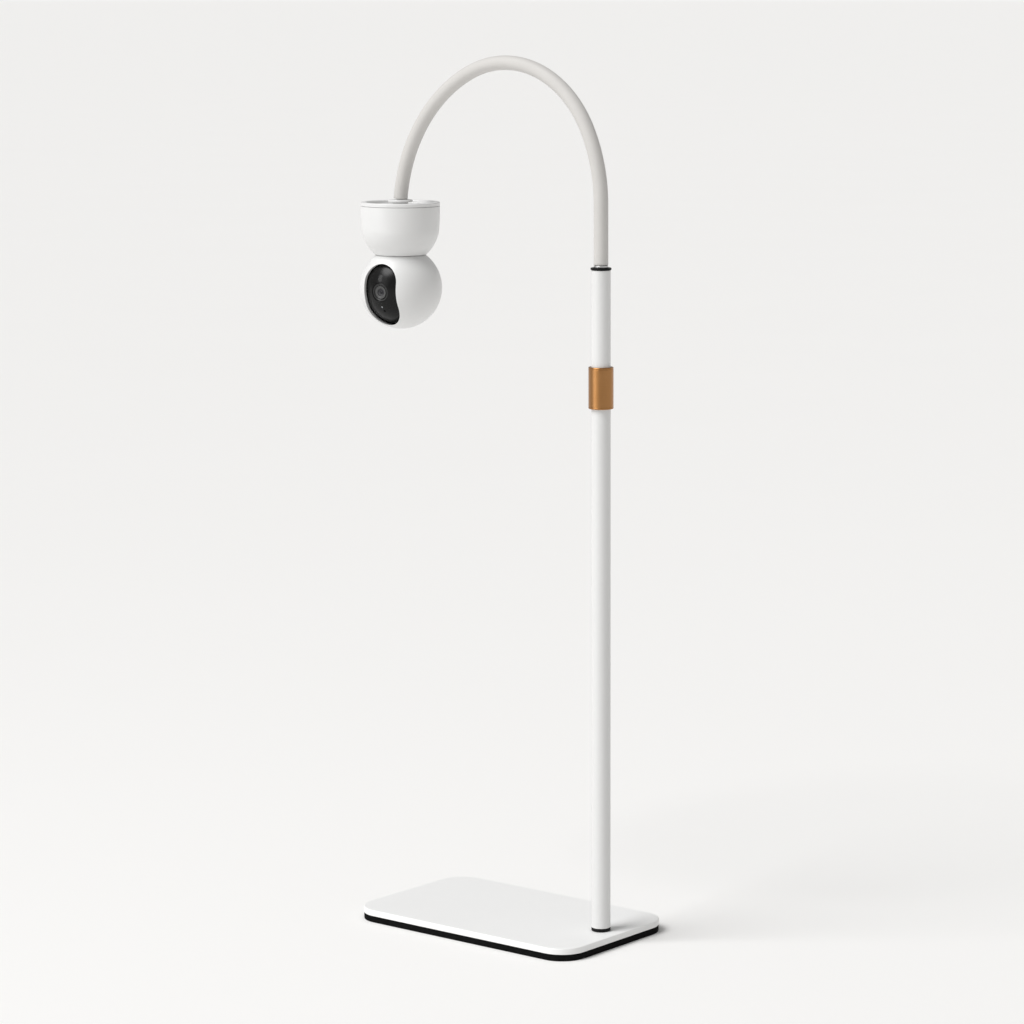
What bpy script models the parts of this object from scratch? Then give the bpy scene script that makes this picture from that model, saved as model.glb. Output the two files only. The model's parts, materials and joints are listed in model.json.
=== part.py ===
"""Floor-stand camera: weighted base, two-piece pole, bendable gooseneck and a hanging pan and tilt camera.

Origin at the middle of the base on the floor, +X towards the pole's end of the base, +Z up.
The camera hangs over the other end and looks towards -Y.
"""

import math

import bmesh
import bpy
from mathutils import Matrix, Vector

MM = 0.001
GAP = 0.3 * MM            # between pieces that touch or are cut to each other
CLEARANCE = 0.5 * MM      # between pieces that move past each other

# Base
BASE_LENGTH = 282 * MM
BASE_WIDTH = 168 * MM
BASE_CORNER = 27.5 * MM
PAD_HEIGHT = 6.4 * MM
PLATE_HEIGHT = 6.3 * MM
PLATE_EDGE = 0.8 * MM
PAD_EDGE = 1.0 * MM
POLE_FROM_END = 23 * MM   # pole axis to the base's short side

# Pole
TUBE_RADIUS = 9.5 * MM
TUBE_WALL = 1.2 * MM
LOWER_TUBE = 543.4 * MM
UPPER_TUBE = 115 * MM
BOLT_RADIUS = 4.0 * MM
BOLT_HEAD_RADIUS = 7.2 * MM
BOLT_POCKET_RADIUS = 8.2 * MM
BOLT_HEAD_HEIGHT = 2.6 * MM
BOLT_REACH = 18 * MM      # of the bolt's shank above the plate
HEX_RADIUS = 2.6 * MM
FOOT_RING_HEIGHT = 3.0 * MM
PLUG_HEIGHT = 18 * MM
COLLAR_HEIGHT = 41.2 * MM
COLLAR_WALL = 2.9 * MM
COLLAR_LIP = 1.6 * MM     # of the turned groove from each end
COLLAR_GROOVE = 0.25 * MM
SPIGOT_REACH = 26 * MM    # into each tube
TOP_RING_HEIGHT = 2.2 * MM
TOP_RING_RADIUS = 10.3 * MM
BUSH_REACH = 8 * MM
FERRULE_HEIGHT = 1.8 * MM
FERRULE_RADIUS = 7.1 * MM

# Gooseneck: a straight rise, then three bends towards -X
SLEEVE_RADIUS = 7.15 * MM
SLEEVE_BORE = 5.6 * MM
CORE_RADIUS = 3.0 * MM
NECK_RISE = 58.8 * MM
LOW_BEND_RADIUS = 162 * MM
LOW_BEND_DEGREES = 26.7
CREST_BEND_RADIUS = 114 * MM
CREST_BEND_DEGREES = 87.3
FAR_BEND_RADIUS = 160 * MM
FAR_BEND_DEGREES = 59.8
BENDS_BEFORE_CREST = 2
BENDS_AFTER_CREST = 3
NECK_STEP = 17 * MM       # between the rings of a segment's mesh
SLEEVE_LIP = 1.5 * MM     # of a sleeve's rounded end past its bend
STUD_RADIUS = 3.1 * MM
STUD_IN_NECK = 8 * MM
STUD_IN_CAMERA = 13 * MM
FLANGE_RADIUS = 12.5 * MM
FLANGE_HEIGHT = 2.3 * MM
FLANGE_NECK_RADIUS = 8 * MM
FLANGE_ABOVE_RIM = 2.2 * MM

# Camera: heights are from the middle of the ball
BALL_RADIUS = 42 * MM
SHELL_WALL = 2.2 * MM
HEAD_WALL = 3.2 * MM
RIM_RADIUS = 40.4 * MM
RIM_EDGE = 1.6 * MM
COVER_HEIGHT = 3.8 * MM
RECESS_RADIUS = 34 * MM
RECESS_DEPTH = 3.0 * MM
COVER_FLOOR = 2.0 * MM
SKIRT_DEPTH = 4.0 * MM
CUP_DRAFT = 1.0 * MM      # how much the cup's straight side narrows
CUP_STRAIGHT = 25.0 * MM
CUP_CURVE_RADIUS = 42 * MM
CUP_CURVE_START = 9.0
CUP_CURVE_END = 47.5
CUP_LIP_WALL = 1.002 * MM   # at the lip around the ball
INSERT_RADIUS = 5.6 * MM
INSERT_LENGTH = 11 * MM
BOSS_RADIUS = 7.6 * MM
COVER_SCREWS = 2
SCREW_RADIUS = 1.5 * MM
COVER_SCREW_CIRCLE = 28 * MM
SCREW_HEAD_RADIUS = 2.6 * MM
SCREW_HEAD_HEIGHT = 0.9 * MM
SCREW_LENGTH = 8 * MM
MOUNT_SLOT_CIRCLE = 21 * MM
MOUNT_SLOT_LENGTH = 9 * MM
MOUNT_SLOT_WIDTH = 3 * MM
RESET_RADIUS = 1.6 * MM
RESET_PROUD = 0.5 * MM
RESET_TRAVEL = 0.6 * MM
RESET_LENGTH = 5 * MM
RESET_CIRCLE = 28 * MM
BOARD_ABOVE_BALL = 23 * MM
BOARD_THICKNESS = 1.6 * MM
INLET_WIDTH = 9.0 * MM
INLET_HEIGHT = 3.2 * MM
INLET_DEPTH = 7.4 * MM
SPEAKER_RADIUS = 10 * MM
SPEAKER_HEIGHT = 6 * MM
SPEAKER_OFFSET = 20.5 * MM

# Pan drive
HUB_HEIGHT = 12 * MM      # of the hub's shaft above its flange
HUB_FLANGE_RADIUS = 13 * MM
HUB_FLANGE_HEIGHT = 2.0 * MM
HUB_RADIUS = 9.0 * MM
HUB_BORE = 5.5 * MM
PAN_MODULE = 1.2 * MM
PAN_TEETH = 30
PAN_PINION_TEETH = 10
GEAR_THICKNESS = 3.0 * MM
PLATE_ABOVE_BALL = 7 * MM # underside of the pan plate above the ball's top
PAN_PLATE_THICKNESS = 2.0 * MM
BEARING_RADIUS = 12.4 * MM
BEARING_HEIGHT = 2.6 * MM
CLIP_RADIUS = 11 * MM
CLIP_HEIGHT = 1.0 * MM
CLIP_GROOVE = 0.8 * MM
MOTOR_RADIUS = 9.0 * MM
MOTOR_HEIGHT = 10 * MM
MOTOR_SHAFT_RADIUS = 1.5 * MM
PAN_MOTOR_BEARING = 200.0  # degrees round from +X

# Head and window
HEAD_TURN = 6.0           # degrees that the head is turned from -Y
BALL_HOLE = 8.0 * MM      # radius of the hole at the ball's top
WINDOW_HALF_WIDTH = 19.5 * MM
WINDOW_TOP = 26.0 * MM
WINDOW_BOTTOM = -36.9 * MM
BACK_SEAM = 24 * MM       # ball's middle to the rear cap's seam
PIN_RADIUS = 2.0 * MM
PIN_BOSS_RADIUS = 5.0 * MM
PIN_BOSS_START = 30 * MM
PIN_START = 23.5 * MM

# Eye
EYE_DROP = 4.0            # degrees that the eye looks down
EYE_WALL = 2.0 * MM
EYE_CLEARANCE = 0.8 * MM  # to the ball around it
EYE_HALF_WIDTH = 27 * MM
EYE_BEHIND = 6 * MM       # how far the eye reaches behind its axis
TILT_MODULE = 0.8 * MM
TILT_TEETH = 40
TILT_PINION_TEETH = 10
TILT_GEAR_THICKNESS = 1.8 * MM
TILT_GEAR_TOOTHED = 14    # teeth cut on the tilt gear, the rest of its rim is plain
TILT_MOTOR_RADIUS = 7.5 * MM
TILT_MOTOR_LENGTH = 13 * MM
BRACKET_THICKNESS = 2.0 * MM
BRACKET_HALF_HEIGHT = 8 * MM
BRACKET_OVERHANG = 4 * MM # past the head's middle
POST_RADIUS = 3.2 * MM
LENS_OPENING = 9.6 * MM
BEZEL_RADIUS = 9.3 * MM
BARREL_RADIUS = 7.2 * MM
BARREL_LENGTH = 20 * MM
LENS_RADIUS = 5.4 * MM
LENS_SUNK = 2.7 * MM      # below the eye's round face
LENS_THICKNESS = 2.0 * MM
BEZEL_PROUD = 1.0 * MM    # of the lens
LIGHT_DEGREES = 24.0      # below the lens axis
LIGHT_RADIUS = 0.9 * MM
MIC_DEGREES = 31.0
MIC_RADIUS = 1.2 * MM
MIC_SIDE = 1.6 * MM        # to the side of the lens axis
SENSOR_SIDE = 20 * MM
INFRARED_WIDTH = 14 * MM
INFRARED_DEPTH = 28 * MM
INFRARED_BOTTOM = 11.5 * MM
INFRARED_HEIGHT = 6 * MM
EYE_BOARD = 1.2 * MM      # thickness of the eye's boards

# Turns a flat outline so that its X runs along +Y, its Y along +Z and its Z along +X
SIDEWAYS = (90, 0, 90)

# Heights that follow from the sizes above
PLATE_BOTTOM = PAD_HEIGHT + GAP
PLATE_TOP = PLATE_BOTTOM + PLATE_HEIGHT
POLE_X = BASE_LENGTH / 2 - POLE_FROM_END
TUBE_BORE = TUBE_RADIUS - TUBE_WALL
TUBE_FOOT = PLATE_TOP + FOOT_RING_HEIGHT + 2 * GAP
JOINT_HEIGHT = TUBE_FOOT + LOWER_TUBE
UPPER_FOOT = JOINT_HEIGHT + GAP
POLE_TOP = UPPER_FOOT + UPPER_TUBE
RING_BOTTOM = POLE_TOP + GAP
FERRULE_BOTTOM = RING_BOTTOM + TOP_RING_HEIGHT + GAP
NECK_START = FERRULE_BOTTOM + FERRULE_HEIGHT + GAP
BALL_INSIDE = BALL_RADIUS - HEAD_WALL
EYE_RADIUS = BALL_INSIDE - EYE_CLEARANCE
LENS_FRONT = EYE_RADIUS - LENS_SUNK
PAN_CENTRES = PAN_MODULE * (PAN_TEETH + PAN_PINION_TEETH) / 2
TILT_CENTRES = TILT_MODULE * (TILT_TEETH + TILT_PINION_TEETH) / 2
CURVE_START, CURVE_END = math.radians(CUP_CURVE_START), math.radians(CUP_CURVE_END)
CUP_DEPTH = CUP_STRAIGHT + CUP_CURVE_RADIUS * (math.sin(CURVE_END) - math.sin(CURVE_START))
LIP_RADIUS = RIM_RADIUS - CUP_DRAFT - CUP_CURVE_RADIUS * (math.cos(CURVE_START) - math.cos(CURVE_END))
LIP_HEIGHT = math.sqrt(BALL_RADIUS ** 2 - (LIP_RADIUS - CUP_LIP_WALL - CLEARANCE) ** 2)
RIM_HEIGHT = LIP_HEIGHT + CUP_DEPTH + GAP + COVER_HEIGHT
BOARD_HEIGHT = BALL_RADIUS + BOARD_ABOVE_BALL
PLATE_LEVEL = BALL_RADIUS + PLATE_ABOVE_BALL
COVER_BOTTOM = RIM_HEIGHT - COVER_HEIGHT
RECESS_FLOOR = RIM_HEIGHT - RECESS_DEPTH
COVER_UNDERSIDE = RECESS_FLOOR - COVER_FLOOR

for old in list(bpy.data.objects):
    bpy.data.objects.remove(old, do_unlink=True)


def collection(name):
    made = bpy.data.collections.new(name)
    bpy.context.scene.collection.children.link(made)
    return made


PARTS = collection("floor_stand_camera")
CUTTERS = collection("cutters")


def finish(name, colour, roughness, metallic=0.0):
    """A Principled material."""
    made = bpy.data.materials.new(name)
    made.use_nodes = True
    shader = made.node_tree.nodes["Principled BSDF"]
    shader.inputs["Base Color"].default_value = (*colour, 1.0)
    shader.inputs["Roughness"].default_value = roughness
    shader.inputs["Metallic"].default_value = metallic
    return made


WHITE_PAINT = finish("white_paint", (0.86, 0.86, 0.85), 0.45)
WHITE_PLASTIC = finish("white_plastic", (0.88, 0.88, 0.87), 0.4)
BLACK_RUBBER = finish("black_rubber", (0.02, 0.02, 0.02), 0.85)
BLACK_PLASTIC = finish("black_plastic", (0.025, 0.025, 0.025), 0.6)
BLACK_GLOSS = finish("black_gloss", (0.01, 0.01, 0.01), 0.12)
COPPER = finish("copper", (0.72, 0.45, 0.24), 0.32, 1.0)
STEEL = finish("steel", (0.6, 0.6, 0.6), 0.3, 1.0)
BRASS = finish("brass", (0.7, 0.55, 0.25), 0.3, 1.0)
SILICONE = finish("silicone", (0.72, 0.70, 0.68), 0.8)
BOARD = finish("circuit_board", (0.02, 0.16, 0.08), 0.5)
GEAR_PLASTIC = finish("gear_plastic", (0.85, 0.83, 0.76), 0.5)
GLASS = finish("lens_glass", (0.02, 0.02, 0.04), 0.03)


# Making solids

def empty(name, place, turn=(0, 0, 0), parent=None):
    """An axis that pieces are parented to."""
    made = bpy.data.objects.new(name, None)
    PARTS.objects.link(made)
    made.parent = parent
    made.location = place
    made.rotation_euler = [math.radians(angle) for angle in turn]
    return made


def place(name, mesh, material, at=(0, 0, 0), turn=(0, 0, 0), parent=None):
    """An object of the model; without a material it is a cutter."""
    made = bpy.data.objects.new(name, mesh)
    made.parent = parent
    made.location = at
    made.rotation_euler = [math.radians(angle) for angle in turn]
    if material is None:
        CUTTERS.objects.link(made)
        made.hide_render = True
        made.display_type = "WIRE"
        return made
    PARTS.objects.link(made)
    mesh.materials.append(material)
    mesh.shade_smooth()
    mesh.set_sharp_from_angle(angle=math.radians(35))
    return made


def boolean(piece, tool, operation="DIFFERENCE"):
    """Cut, join or intersect a piece with a hidden tool."""
    step = piece.modifiers.new(tool.name, "BOOLEAN")
    step.operation = operation
    step.solver = "EXACT"
    step.object = tool
    return piece


def from_bmesh(name, shape):
    mesh = bpy.data.meshes.new(name)
    shape.to_mesh(mesh)
    shape.free()
    return mesh


def rod(name, radius, bottom, top, material, sides=20, **where):
    """A plain round bar along its own Z."""
    shape = bmesh.new()
    middle = Matrix.Translation((0, 0, (bottom + top) / 2))
    bmesh.ops.create_cone(shape, cap_ends=True, segments=sides, radius1=radius, radius2=radius,
                          depth=top - bottom, matrix=middle)
    return place(name, from_bmesh(name, shape), material, **where)


def block(name, low, high, material, edge=0.0, **where):
    """A box from its low corner to its high corner, with rounded edges where edge is given."""
    low, high = Vector(low), Vector(high)
    shape = bmesh.new()
    size = high - low
    bmesh.ops.create_cube(shape, size=1.0, matrix=Matrix.Translation((low + high) / 2)
                          @ Matrix.Diagonal((*size, 1.0)))
    piece = place(name, from_bmesh(name, shape), material, **where)
    if edge:
        bevel(piece, edge)
    return piece


def ball(name, radius, **where):
    """A sphere used as a cutter."""
    shape = bmesh.new()
    bmesh.ops.create_uvsphere(shape, u_segments=16, v_segments=8, radius=radius)
    return place(name, from_bmesh(name, shape), None, **where)


def bevel(piece, width, segments=1):
    step = piece.modifiers.new("rounded_edges", "BEVEL")
    step.width = width
    step.segments = segments
    step.limit_method = "ANGLE"
    step.angle_limit = math.radians(50)


def turned(name, profile, material, sides=20, **where):
    """Turn (radius, height) points about Z: down the outer side, then up the inner side."""
    closed = profile[0][0] > 0 or profile[-1][0] > 0
    mesh = bpy.data.meshes.new(name)
    points = [(radius, 0, height) for radius, height in profile]
    edges = [(i, i + 1) for i in range(len(points) - 1)]
    if closed:
        edges.append((len(points) - 1, 0))
    mesh.from_pydata(points, edges, [])
    piece = place(name, mesh, material, **where)
    step = piece.modifiers.new("turned", "SCREW")
    step.steps = sides
    step.render_steps = sides
    step.use_merge_vertices = True
    step.merge_threshold = 0.00001
    step.use_smooth_shade = True
    return piece


def ring(name, inner, outer, bottom, top, material, edge=0.0, **where):
    """A round tube or washer, its outer edges rounded by a small chamfer."""
    profile = [(outer - edge, top), (outer, top - edge), (outer, bottom + edge),
               (outer - edge, bottom), (inner, bottom), (inner, top)]
    if not edge:
        profile = [(outer, top), (outer, bottom), (inner, bottom), (inner, top)]
    return turned(name, profile, material, **where)


def as_mesh(curve_object, name):
    """The closed mesh of a curve object, which is then removed."""
    bpy.context.view_layer.update()
    seen = curve_object.evaluated_get(bpy.context.evaluated_depsgraph_get())
    mesh = bpy.data.meshes.new_from_object(seen)
    mesh.name = name
    shape = bmesh.new()
    shape.from_mesh(mesh)
    bmesh.ops.remove_doubles(shape, verts=shape.verts, dist=0.00001)
    bmesh.ops.recalc_face_normals(shape, faces=shape.faces)
    shape.to_mesh(mesh)
    shape.free()
    mesh.materials.clear()
    bpy.data.objects.remove(curve_object, do_unlink=True)
    return mesh


def flat(name, outlines, bottom, top, material, **where):
    """Outlines in XY, the first the outer one and the rest holes, made thick along Z."""
    curve = bpy.data.curves.new(name, "CURVE")
    curve.dimensions = "2D"
    curve.fill_mode = "BOTH"
    curve.extrude = (top - bottom) / 2
    for outline in outlines:
        spline = curve.splines.new("POLY")
        spline.points.add(len(outline) - 1)
        for point, (x, y) in zip(spline.points, outline):
            point.co = (x, y, 0, 1)
        spline.use_cyclic_u = True
    holder = bpy.data.objects.new(name, curve)
    PARTS.objects.link(holder)
    mesh = as_mesh(holder, name)
    mesh.transform(Matrix.Translation((0, 0, (bottom + top) / 2)))
    return place(name, mesh, material, **where)


def swept(name, points, radii, material, resolution=2, **where):
    """A round bar through points, with its own radius at each."""
    curve = bpy.data.curves.new(name, "CURVE")
    curve.dimensions = "3D"
    curve.bevel_depth = max(radii)
    curve.bevel_resolution = resolution
    curve.use_fill_caps = True
    spline = curve.splines.new("POLY")
    spline.points.add(len(points) - 1)
    for point, at, radius in zip(spline.points, points, radii):
        point.co = (*at, 1)
        point.radius = radius / max(radii)
    holder = bpy.data.objects.new(name, curve)
    PARTS.objects.link(holder)
    return place(name, as_mesh(holder, name), material, **where)


def arc(centre, radius, start, end, count):
    """Points on a circle from one angle to another, in degrees."""
    angles = [math.radians(start + (end - start) * i / count) for i in range(count + 1)]
    return [(centre[0] + radius * math.cos(a), centre[1] + radius * math.sin(a)) for a in angles]


def circle(radius, count=24, centre=(0, 0)):
    return arc(centre, radius, 0, 360 - 360 / count, count - 1)


def rounded_rectangle(length, width, corner, steps=6):
    x, y = length / 2 - corner, width / 2 - corner
    return (arc((x, y), corner, 0, 90, steps) + arc((-x, y), corner, 90, 180, steps)
            + arc((-x, -y), corner, 180, 270, steps) + arc((x, -y), corner, 270, 360, steps))


def stadium(half_width, low, high, steps=12):
    return (arc((0, high - half_width), half_width, 0, 180, steps)
            + arc((0, low + half_width), half_width, 180, 360, steps))


def gear_outline(teeth, module, tooth_at, first=0, count=None):
    """A spur gear's outline; a gear with teeth on part of its rim has a plain arc on the rest."""
    pitch = teeth * module / 2
    tip, root = pitch + 0.8 * module, pitch - 1.1 * module
    step = 360 / teeth
    count = teeth if count is None else count
    outline = []
    for i in range(first, first + count):
        middle = tooth_at + i * step
        for radius, share in ((root, -0.26), (tip, -0.10), (tip, 0.10), (root, 0.26)):
            angle = math.radians(middle + share * step)
            outline.append((radius * math.cos(angle), radius * math.sin(angle)))
    if count < teeth:
        start = tooth_at + (first + count - 0.5) * step
        outline += arc((0, 0), root, start, start + (teeth - count) * step, 12)
    return outline


# Base and pole

def base():
    pole = (POLE_X, 0, 0)
    outline = rounded_rectangle(BASE_LENGTH, BASE_WIDTH, BASE_CORNER)
    pad = flat("base_pad", [outline], 0, PAD_HEIGHT, BLACK_RUBBER)
    bevel(pad, PAD_EDGE)
    boolean(pad, rod("pad_hole", BOLT_POCKET_RADIUS, -MM, PAD_HEIGHT + MM, None, at=pole))
    plate = flat("base_plate", [outline], PLATE_BOTTOM, PLATE_TOP, WHITE_PAINT)
    bevel(plate, PLATE_EDGE)
    seat = PLATE_BOTTOM + BOLT_HEAD_HEIGHT
    boolean(plate, rod("plate_recess", BOLT_POCKET_RADIUS, 0, seat + GAP, None, at=pole))
    boolean(plate, rod("plate_hole", BOLT_RADIUS + GAP, 0, PLATE_TOP + MM, None, at=pole))
    bolt = turned("pole_bolt", [
        (0, PLATE_TOP + BOLT_REACH), (BOLT_RADIUS, PLATE_TOP + BOLT_REACH), (BOLT_RADIUS, seat),
        (BOLT_HEAD_RADIUS, seat), (BOLT_HEAD_RADIUS, PLATE_BOTTOM), (0, PLATE_BOTTOM)],
        STEEL, sides=20, at=pole)
    boolean(bolt, rod("bolt_hex", HEX_RADIUS, PLATE_BOTTOM - MM,
                      PLATE_BOTTOM + BOLT_HEAD_HEIGHT / 2, None, sides=6, at=pole))
    ring("foot_ring", BOLT_RADIUS + GAP, TUBE_RADIUS + GAP / 2, PLATE_TOP + GAP,
         PLATE_TOP + GAP + FOOT_RING_HEIGHT, BLACK_PLASTIC, edge=GAP, at=pole)


def pole():
    at = (POLE_X, 0, 0)
    plug = TUBE_BORE - GAP
    thread = BOLT_RADIUS + GAP
    ring("lower_insert", thread, plug, TUBE_FOOT, TUBE_FOOT + PLUG_HEIGHT, STEEL, sides=24, at=at)
    ring("lower_tube", TUBE_BORE, TUBE_RADIUS, TUBE_FOOT, JOINT_HEIGHT, WHITE_PAINT, at=at)
    ring("upper_tube", TUBE_BORE, TUBE_RADIUS, UPPER_FOOT, POLE_TOP, WHITE_PAINT, at=at)
    turned("coupling_spigot", [
        (0, UPPER_FOOT + SPIGOT_REACH), (plug, UPPER_FOOT + SPIGOT_REACH),
        (plug, JOINT_HEIGHT - SPIGOT_REACH), (0, JOINT_HEIGHT - SPIGOT_REACH)],
        STEEL, sides=24, at=at)
    inner = TUBE_RADIUS + GAP
    outer = inner + COLLAR_WALL - GAP
    low, high = JOINT_HEIGHT - COLLAR_HEIGHT / 2, JOINT_HEIGHT + COLLAR_HEIGHT / 2
    edge, lip, groove = COLLAR_LIP / 2, COLLAR_LIP, COLLAR_GROOVE
    turned("collar", [
        (outer - edge, high), (outer, high - edge), (outer, high - lip),
        (outer - groove, high - lip - groove), (outer, high - lip - 2 * groove),
        (outer, low + lip + 2 * groove), (outer - groove, low + lip + groove),
        (outer, low + lip), (outer, low + edge), (outer - edge, low), (inner, low), (inner, high)],
        COPPER, at=at)
    stud = BOLT_RADIUS
    socket_top = POLE_TOP - BUSH_REACH - GAP
    ring("neck_socket", stud + GAP, plug, socket_top - PLUG_HEIGHT, socket_top, STEEL, sides=24,
         at=at)
    ring_top = RING_BOTTOM + TOP_RING_HEIGHT
    turned("top_ring", [
        (TOP_RING_RADIUS - GAP, ring_top), (TOP_RING_RADIUS, ring_top - GAP),
        (TOP_RING_RADIUS, RING_BOTTOM + GAP), (TOP_RING_RADIUS - GAP, RING_BOTTOM),
        (plug, RING_BOTTOM), (plug, POLE_TOP - BUSH_REACH),
        (stud + GAP, POLE_TOP - BUSH_REACH), (stud + GAP, ring_top)], BLACK_PLASTIC, at=at)
    ferrule_top = FERRULE_BOTTOM + FERRULE_HEIGHT
    turned("neck_ferrule", [
        (0, ferrule_top), (FERRULE_RADIUS - GAP, ferrule_top), (FERRULE_RADIUS, ferrule_top - GAP),
        (FERRULE_RADIUS, FERRULE_BOTTOM), (stud, FERRULE_BOTTOM),
        (stud, socket_top - PLUG_HEIGHT / 2), (0, socket_top - PLUG_HEIGHT / 2)], STEEL, at=at)


# Gooseneck

def neck_runs():
    """Length and curvature of each stretch of the gooseneck's middle line."""
    runs = [(NECK_RISE, 0.0)]
    for radius, degrees in ((LOW_BEND_RADIUS, LOW_BEND_DEGREES),
                            (CREST_BEND_RADIUS, CREST_BEND_DEGREES),
                            (FAR_BEND_RADIUS, FAR_BEND_DEGREES)):
        runs.append((radius * math.radians(degrees), 1 / radius))
    return runs


NECK_LENGTH = sum(length for length, _ in neck_runs())
NECK_TURN = math.radians(LOW_BEND_DEGREES + CREST_BEND_DEGREES + FAR_BEND_DEGREES)


def neck_at(distance):
    """Place and direction of the gooseneck's middle line, that far along it."""
    x, z, lean = POLE_X, NECK_START, 0.0
    for length, curvature in neck_runs():
        step = min(distance, length)
        end = lean + curvature * step
        if curvature:
            x -= (math.cos(lean) - math.cos(end)) / curvature
            z += (math.sin(end) - math.sin(lean)) / curvature
        else:
            x -= math.sin(lean) * step
            z += math.cos(lean) * step
        lean = end
        distance -= step
        if distance <= 0:
            break
    return Vector((x, 0, z)), Vector((-math.sin(lean), 0, math.cos(lean)))


def distance_at_turn(turn):
    """How far along the gooseneck its direction has turned by an angle in radians."""
    gone = 0.0
    for length, curvature in neck_runs():
        if curvature and turn <= length * curvature:
            return gone + turn / curvature
        turn -= length * curvature
        gone += length
    return gone


def bend_stations():
    """Distances along the gooseneck of its bends: those in its own plane and the sideways one."""
    count = BENDS_BEFORE_CREST + BENDS_AFTER_CREST
    stations = [distance_at_turn(NECK_TURN * (i + 0.5) / count) for i in range(count)]
    crest = distance_at_turn(NECK_TURN * BENDS_BEFORE_CREST / count)
    return sorted(stations + [crest])


def along(start, end, radius):
    """Points and radii of a plain stretch of the gooseneck."""
    count = max(1, math.ceil((end - start) / NECK_STEP))
    points = [neck_at(start + (end - start) * i / count)[0] for i in range(count + 1)]
    return points, [radius] * len(points)


def gooseneck():
    """Segments with a ball-shaped far end that turns in a hollow in the next one's near end."""
    stops = [0.0] + bend_stations() + [NECK_LENGTH]
    for number, (start, end) in enumerate(zip(stops, stops[1:]), 1):
        first, last = number == 1, number == len(stops) - 1
        centre, behind = neck_at(start)
        far, ahead = neck_at(end)
        axis = empty(f"neck_axis_{number}", centre)
        core_end = end - STUD_IN_NECK - 2 * GAP if last else end
        points, radii = along(start, end, SLEEVE_RADIUS)
        core_points, core_radii = along(start, core_end, CORE_RADIUS)
        if not last:
            points.append(far + ahead * SLEEVE_LIP)
            radii.append(math.sqrt(SLEEVE_RADIUS ** 2 - SLEEVE_LIP ** 2))
            for angle in (30, 60, 82):
                turn = math.radians(angle)
                core_points.append(far + ahead * CORE_RADIUS * math.sin(turn))
                core_radii.append(CORE_RADIUS * math.cos(turn))
        sleeve = swept(f"neck_sleeve_{number}", [point - centre for point in points], radii,
                       SILICONE, parent=axis)
        bore_points, _ = along(start, end, SLEEVE_BORE)
        bore_points = [centre - behind * 2 * SLEEVE_LIP] + bore_points[1:]
        bore_points.append(far + ahead * 2 * SLEEVE_LIP)
        bore_radii = [SLEEVE_BORE] * len(bore_points)
        boolean(sleeve, swept(f"sleeve_bore_{number}", [point - centre for point in bore_points],
                              bore_radii, None, parent=axis))
        if last:
            low, reach = far - centre, 2 * SLEEVE_RADIUS
            flat_end = FLANGE_TOP + GAP - centre.z
            boolean(sleeve, block("sleeve_end_cutter", (low.x - reach, -reach, flat_end - reach),
                                  (low.x + reach, reach, flat_end), None, parent=axis))
        core = swept(f"neck_core_{number}", [point - centre for point in core_points], core_radii,
                     STEEL, resolution=1, parent=axis)
        if not first:
            boolean(sleeve, ball(f"sleeve_hollow_{number}", SLEEVE_RADIUS + CLEARANCE, parent=axis))
            boolean(core, ball(f"core_hollow_{number}", CORE_RADIUS + CLEARANCE, parent=axis))


# Camera base

NECK_END, NECK_END_DIRECTION = neck_at(NECK_LENGTH)
SLEEVE_DIP = SLEEVE_RADIUS * abs(NECK_END_DIRECTION.x)
FLANGE_TOP = NECK_END.z - SLEEVE_DIP - GAP
BALL_HEIGHT = FLANGE_TOP - FLANGE_ABOVE_RIM - RIM_HEIGHT


def cup_outside(steps=5):
    """The cup's outer side from its top edge down to its lip, as (radius, height)."""
    top = COVER_BOTTOM - GAP
    knee_radius, knee = RIM_RADIUS - CUP_DRAFT, top - CUP_STRAIGHT
    start, end = CURVE_START, CURVE_END
    middle_radius = knee_radius - CUP_CURVE_RADIUS * math.cos(start)
    middle_height = knee + CUP_CURVE_RADIUS * math.sin(start)
    points = [(RIM_RADIUS, top)]
    for i in range(steps + 1):
        angle = start + (end - start) * i / steps
        points.append((middle_radius + CUP_CURVE_RADIUS * math.cos(angle),
                       middle_height - CUP_CURVE_RADIUS * math.sin(angle)))
    return points


def cup_inside_radius(height):
    """The cup's inner radius at a height."""
    points = cup_outside(24)
    for (radius, high), (next_radius, low) in zip(points, points[1:]):
        if low <= height <= high:
            share = (high - height) / (high - low)
            return radius + (next_radius - radius) * share - SHELL_WALL
    return points[-1][0] - SHELL_WALL


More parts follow.
